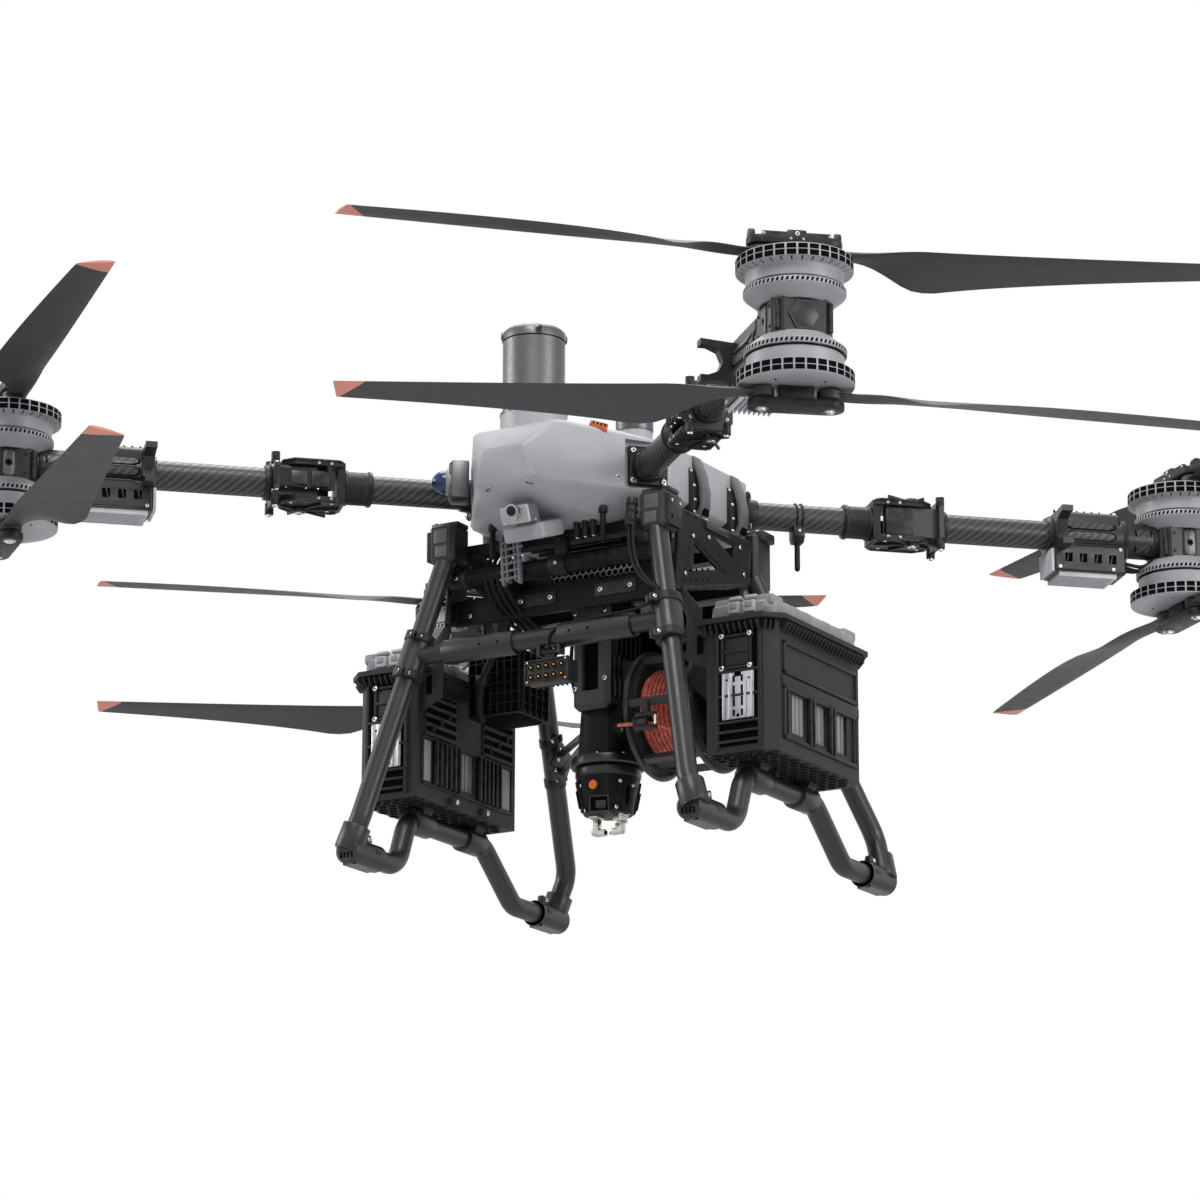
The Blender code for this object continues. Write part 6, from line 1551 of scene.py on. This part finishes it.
def fit_gear():
    """Clamps, sleeves and caps of the landing gear, and smooth pipes over the legs and skids."""
    part = Sculpt()
    for side in (-1, 1):
        part.here = mirrored(side)
        for height in (0.440, 0.368):
            leg_band(part, "front", height, (-0.4, -1, 0))
        for height in (0.352, 0.283):
            leg_band(part, "rear", height, (-1, -0.6, 0))
        rear_gusset(part)
        skid_end(part, "front", -1)
        skid_end(part, "rear", 1)
        for y in (-0.094, 0.090):
            sleeve = ((SKID_X, y - 0.030, ARCH_Z), (SKID_X, y + 0.030, ARCH_Z))
            part.rod(CHARCOAL, 0.0255, *sleeve, 40, edge=0.0012)
            for x in (-1, 1):
                saddle = (SKID_X + x * 0.020, y, 0.1440)
                part.block(BOX_DARK, (0.006, 0.030, 0.022), saddle, about("Y", 22 * x), 0.0015)
        part.rod(CHARCOAL, 0.0235, (0.050, BAR_Y, BAR_Z), (0.205, BAR_Y, BAR_Z), 36, 0.0235, edge=0.001)
        for x in (0.078, 0.118):
            # Painted shade: near-black holes in the bar.
            part.rod(PAINTED_SHADE, 0.0026, (x, -0.2770, BAR_Z), (x, -0.2774, BAR_Z), 14)
    part.piece("gear_trim", "frame")
    turns = ((SKID_ENDS["front"], SKID_Z), (-0.170, SKID_Z), (-0.132, ARCH_Z), (0.135, ARCH_Z),
             (0.250, SKID_Z), (SKID_ENDS["rear"], SKID_Z))
    routes = {"leg_pipe_" + end: filleted([LEG_TOPS[end], LEG_KNEES[end], FEET[end]], 0.060) for end in FEET}
    routes["skid_pipe"] = filleted([(SKID_X, y, z) for y, z in turns], 0.045)
    for label, side in SIDES:
        for name, route in routes.items():
            pipe(f"{name}_{label}", [mirrored(side) @ point for point in route], LEG_R)


def rear_gusset(part):
    """The bent plate and strut that tie a rear leg to the winch."""
    low = LEG_TOPS["rear"].lerp(LEG_KNEES["rear"], 0.575)
    part.block(BLACK, (0.012, 0.060, 0.070), low + Vector((-0.024, -0.012, 0.0)), about("X", -30), 0.003)
    for z, winch_z in ((0.020, 0.310), (-0.020, 0.300)):
        part.rod(BLACK, 0.0075, low + Vector((-0.020, 0, z)), (0.060, 0.052, winch_z), 20)
    for z in (-0.022, 0.0, 0.022):
        part.screw(low + Vector((-0.0300, -0.030 + 0.4 * z, z)), (-1, -0.2, 0), 0.0036, 0.0024)


def skid_end(part, end, out):
    """Ribbed cap, slot, clamp ears and screw at the end of a skid; out is its way along Y."""
    def at(inward, x=0.0, z=SKID_Z):
        return Vector((SKID_X + x, SKID_ENDS[end] - out * inward, z))

    part.rod(CHARCOAL, 0.0258, at(0.0005), at(-0.0030), 40, 0.0236, edge=0.0006)
    part.rod(BLACK, 0.0205, at(0), at(-0.0036), 36)
    # Painted shade: near-black slots in the cap.
    for k in range(4):
        part.block(PAINTED_SHADE, (0.0050, 0.0030, 0.0110), at(-0.0026, 0.0080 * k - 0.0120, 0.0165), edge=0.0004)
    part.block(BLACK, (0.040, 0.0030, 0.0030), at(-0.0032, z=0.0270), edge=0.0006)
    part.rod(CHARCOAL, 0.0259, at(0), at(0.095), 44)
    foot = FEET[end]
    up = (LEG_KNEES[end] - foot).normalized()
    part.rod(CHARCOAL, 0.0269, foot - up * 0.020, foot + up * 0.0282, 44, edge=0.0012)
    part.block(CHARCOAL, (0.014, 0.026, 0.016), at(0.060, z=0.0560), about("X", -18 * out), 0.003)
    for x in (1, -1):
        part.screw(at(0.060, x * 0.0073, 0.0570), (x, 0, 0), 0.0046, 0.0028)
    for x in both(0.0250):
        part.block(BLACK, (0.0020, 0.030, 0.010), at(0.072, x, 0.0300), edge=0.0008)
    part.rod(CHARCOAL, 0.0262, at(0.0880), at(0.0945), 40, 0.0225, edge=0.0008)


# Finishes of the CAD nodes


FINISHES = (
    (SHELL, 0.003, "fuselage"),
    (SILVER, 0.001, "front_camera"),
    (FRAME_BLACK_AND_SHADE, 0.001, "airframe"),
    (CHARCOAL, 0.001, "crossbar_front"),
    (BLACK, 0.001, "spotlight"),
    (BOX_DARK, 0.0012, "battery_box_left battery_box_right"),
    (LID_GREY, 0.002, "battery_left battery_right"),
    (CHARCOAL, 0.001, "skid_left skid_right"),
    (BLACK, 0.001, "winch_drum"),
    (CAGE_AND_LIT_FACE_GREY, 0.001, "drum_cage"),
    (NICKEL, 0.0008, "hook_gate"),
    (ORANGE, 0.0008, "release_button"),
    (CHARCOAL, 0.001, "leg_front_left leg_front_right leg_rear_left leg_rear_right"),
)


def finish_nodes():
    """Finished copies of the CAD nodes that no other function dresses."""
    dressed("hook_body", FRAME_BLACK_AND_SHADE, 0.001, [
        (NICKEL, lambda middle: middle.z < 0.1175),
        (ROPE, lambda middle: middle.z > 0.2905 and middle.xy.length < 0.006)])
    # Painted light: the column's front face takes the lighter grey while its sides and fins keep the darker
    # black, a painted lit face.
    dressed("winch_column", FRAME_BLACK_AND_SHADE, 0.0015, [
        (CAGE_AND_LIT_FACE_GREY, lambda middle: middle.y < -0.055 and middle.z > 0.26)])
    for shade, edge, nodes in FINISHES:
        for node in nodes.split():
            dressed(node, shade, edge)


# Studio and camera


LIT = Vector((0, 0, 0.5))


def lamp(name, at, size, power):
    """A round soft light that looks at the middle of the drone."""
    light = bpy.data.lights.new(name, "AREA")
    light.shape = "DISK"
    light.size = size
    light.energy = power
    lamp_object = bpy.data.objects.new(name, light)
    bpy.context.collection.objects.link(lamp_object)
    lamp_object.location = at
    lamp_object.rotation_euler = (LIT - Vector(at)).to_track_quat("-Z", "Y").to_euler()


def studio():
    """White backdrop for the camera and for reflections, soft ambient light, a floor and four lamps."""
    scene = bpy.context.scene
    scene.view_settings.view_transform = "Standard"
    world = bpy.data.worlds.new("studio")
    world.use_nodes = True
    scene.world = world
    nodes, links = world.node_tree.nodes, world.node_tree.links
    ambient, white = nodes["Background"], nodes.new("ShaderNodeBackground")
    for backdrop, colour, strength in ((ambient, (0.95, 0.97, 1.0, 1), 0.28), (white, (1, 1, 1, 1), 1.0)):
        backdrop.inputs["Color"].default_value = colour
        backdrop.inputs["Strength"].default_value = strength
    ray = nodes.new("ShaderNodeLightPath")
    seen = ray.outputs["Is Camera Ray"]
    for other in ("Is Glossy Ray", "Is Transmission Ray"):
        either = nodes.new("ShaderNodeMath")
        either.operation = "MAXIMUM"
        links.new(seen, either.inputs[0])
        links.new(ray.outputs[other], either.inputs[1])
        seen = either.outputs[0]
    mix = nodes.new("ShaderNodeMixShader")
    links.new(seen, mix.inputs["Fac"])
    links.new(ambient.outputs[0], mix.inputs[1])
    links.new(white.outputs[0], mix.inputs[2])
    links.new(mix.outputs[0], nodes["World Output"].inputs["Surface"])
    floor_shade = Shader("studio_floor", (0.86, 0.86, 0.87), 0.7).mottled(0.01, 2)
    bm = bmesh.new()
    bmesh.ops.create_circle(bm, cap_ends=True, segments=64, radius=14)
    floor = bpy.data.objects.new("studio_floor", settled(bm, "studio_floor"))
    floor.data.materials.append(floor_shade.material)
    floor.location.z = FLOOR_Z
    bpy.context.collection.objects.link(floor)
    lamp("key", (2.2, -4.6, 6.0), 4.0, 350)
    lamp("top", (-1.0, 1.5, 6.5), 5.0, 270)
    lamp("left_fill", (7.0, -0.8, 1.6), 4.0, 200)
    lamp("right_rim", (-6.0, -3.0, 2.5), 3.0, 170)


def camera():
    """The camera that took the photograph, as it was fitted."""
    data = bpy.data.cameras.new("camera")
    data.lens = CAMERA_LENS
    data.sensor_width = SENSOR
    data.sensor_fit = "HORIZONTAL"
    data.clip_end = 60
    lens = bpy.data.objects.new("camera", data)
    bpy.context.collection.objects.link(lens)
    lens.matrix_world = CAMERA_STAND
    bpy.context.scene.camera = lens


finish_nodes()
build_rotors()
fit_arms()
shell_fittings()
beacon()
canister()
belly_fittings()
belly_cables()
fit_boxes()
fit_winch()
fit_gear()
studio()
camera()
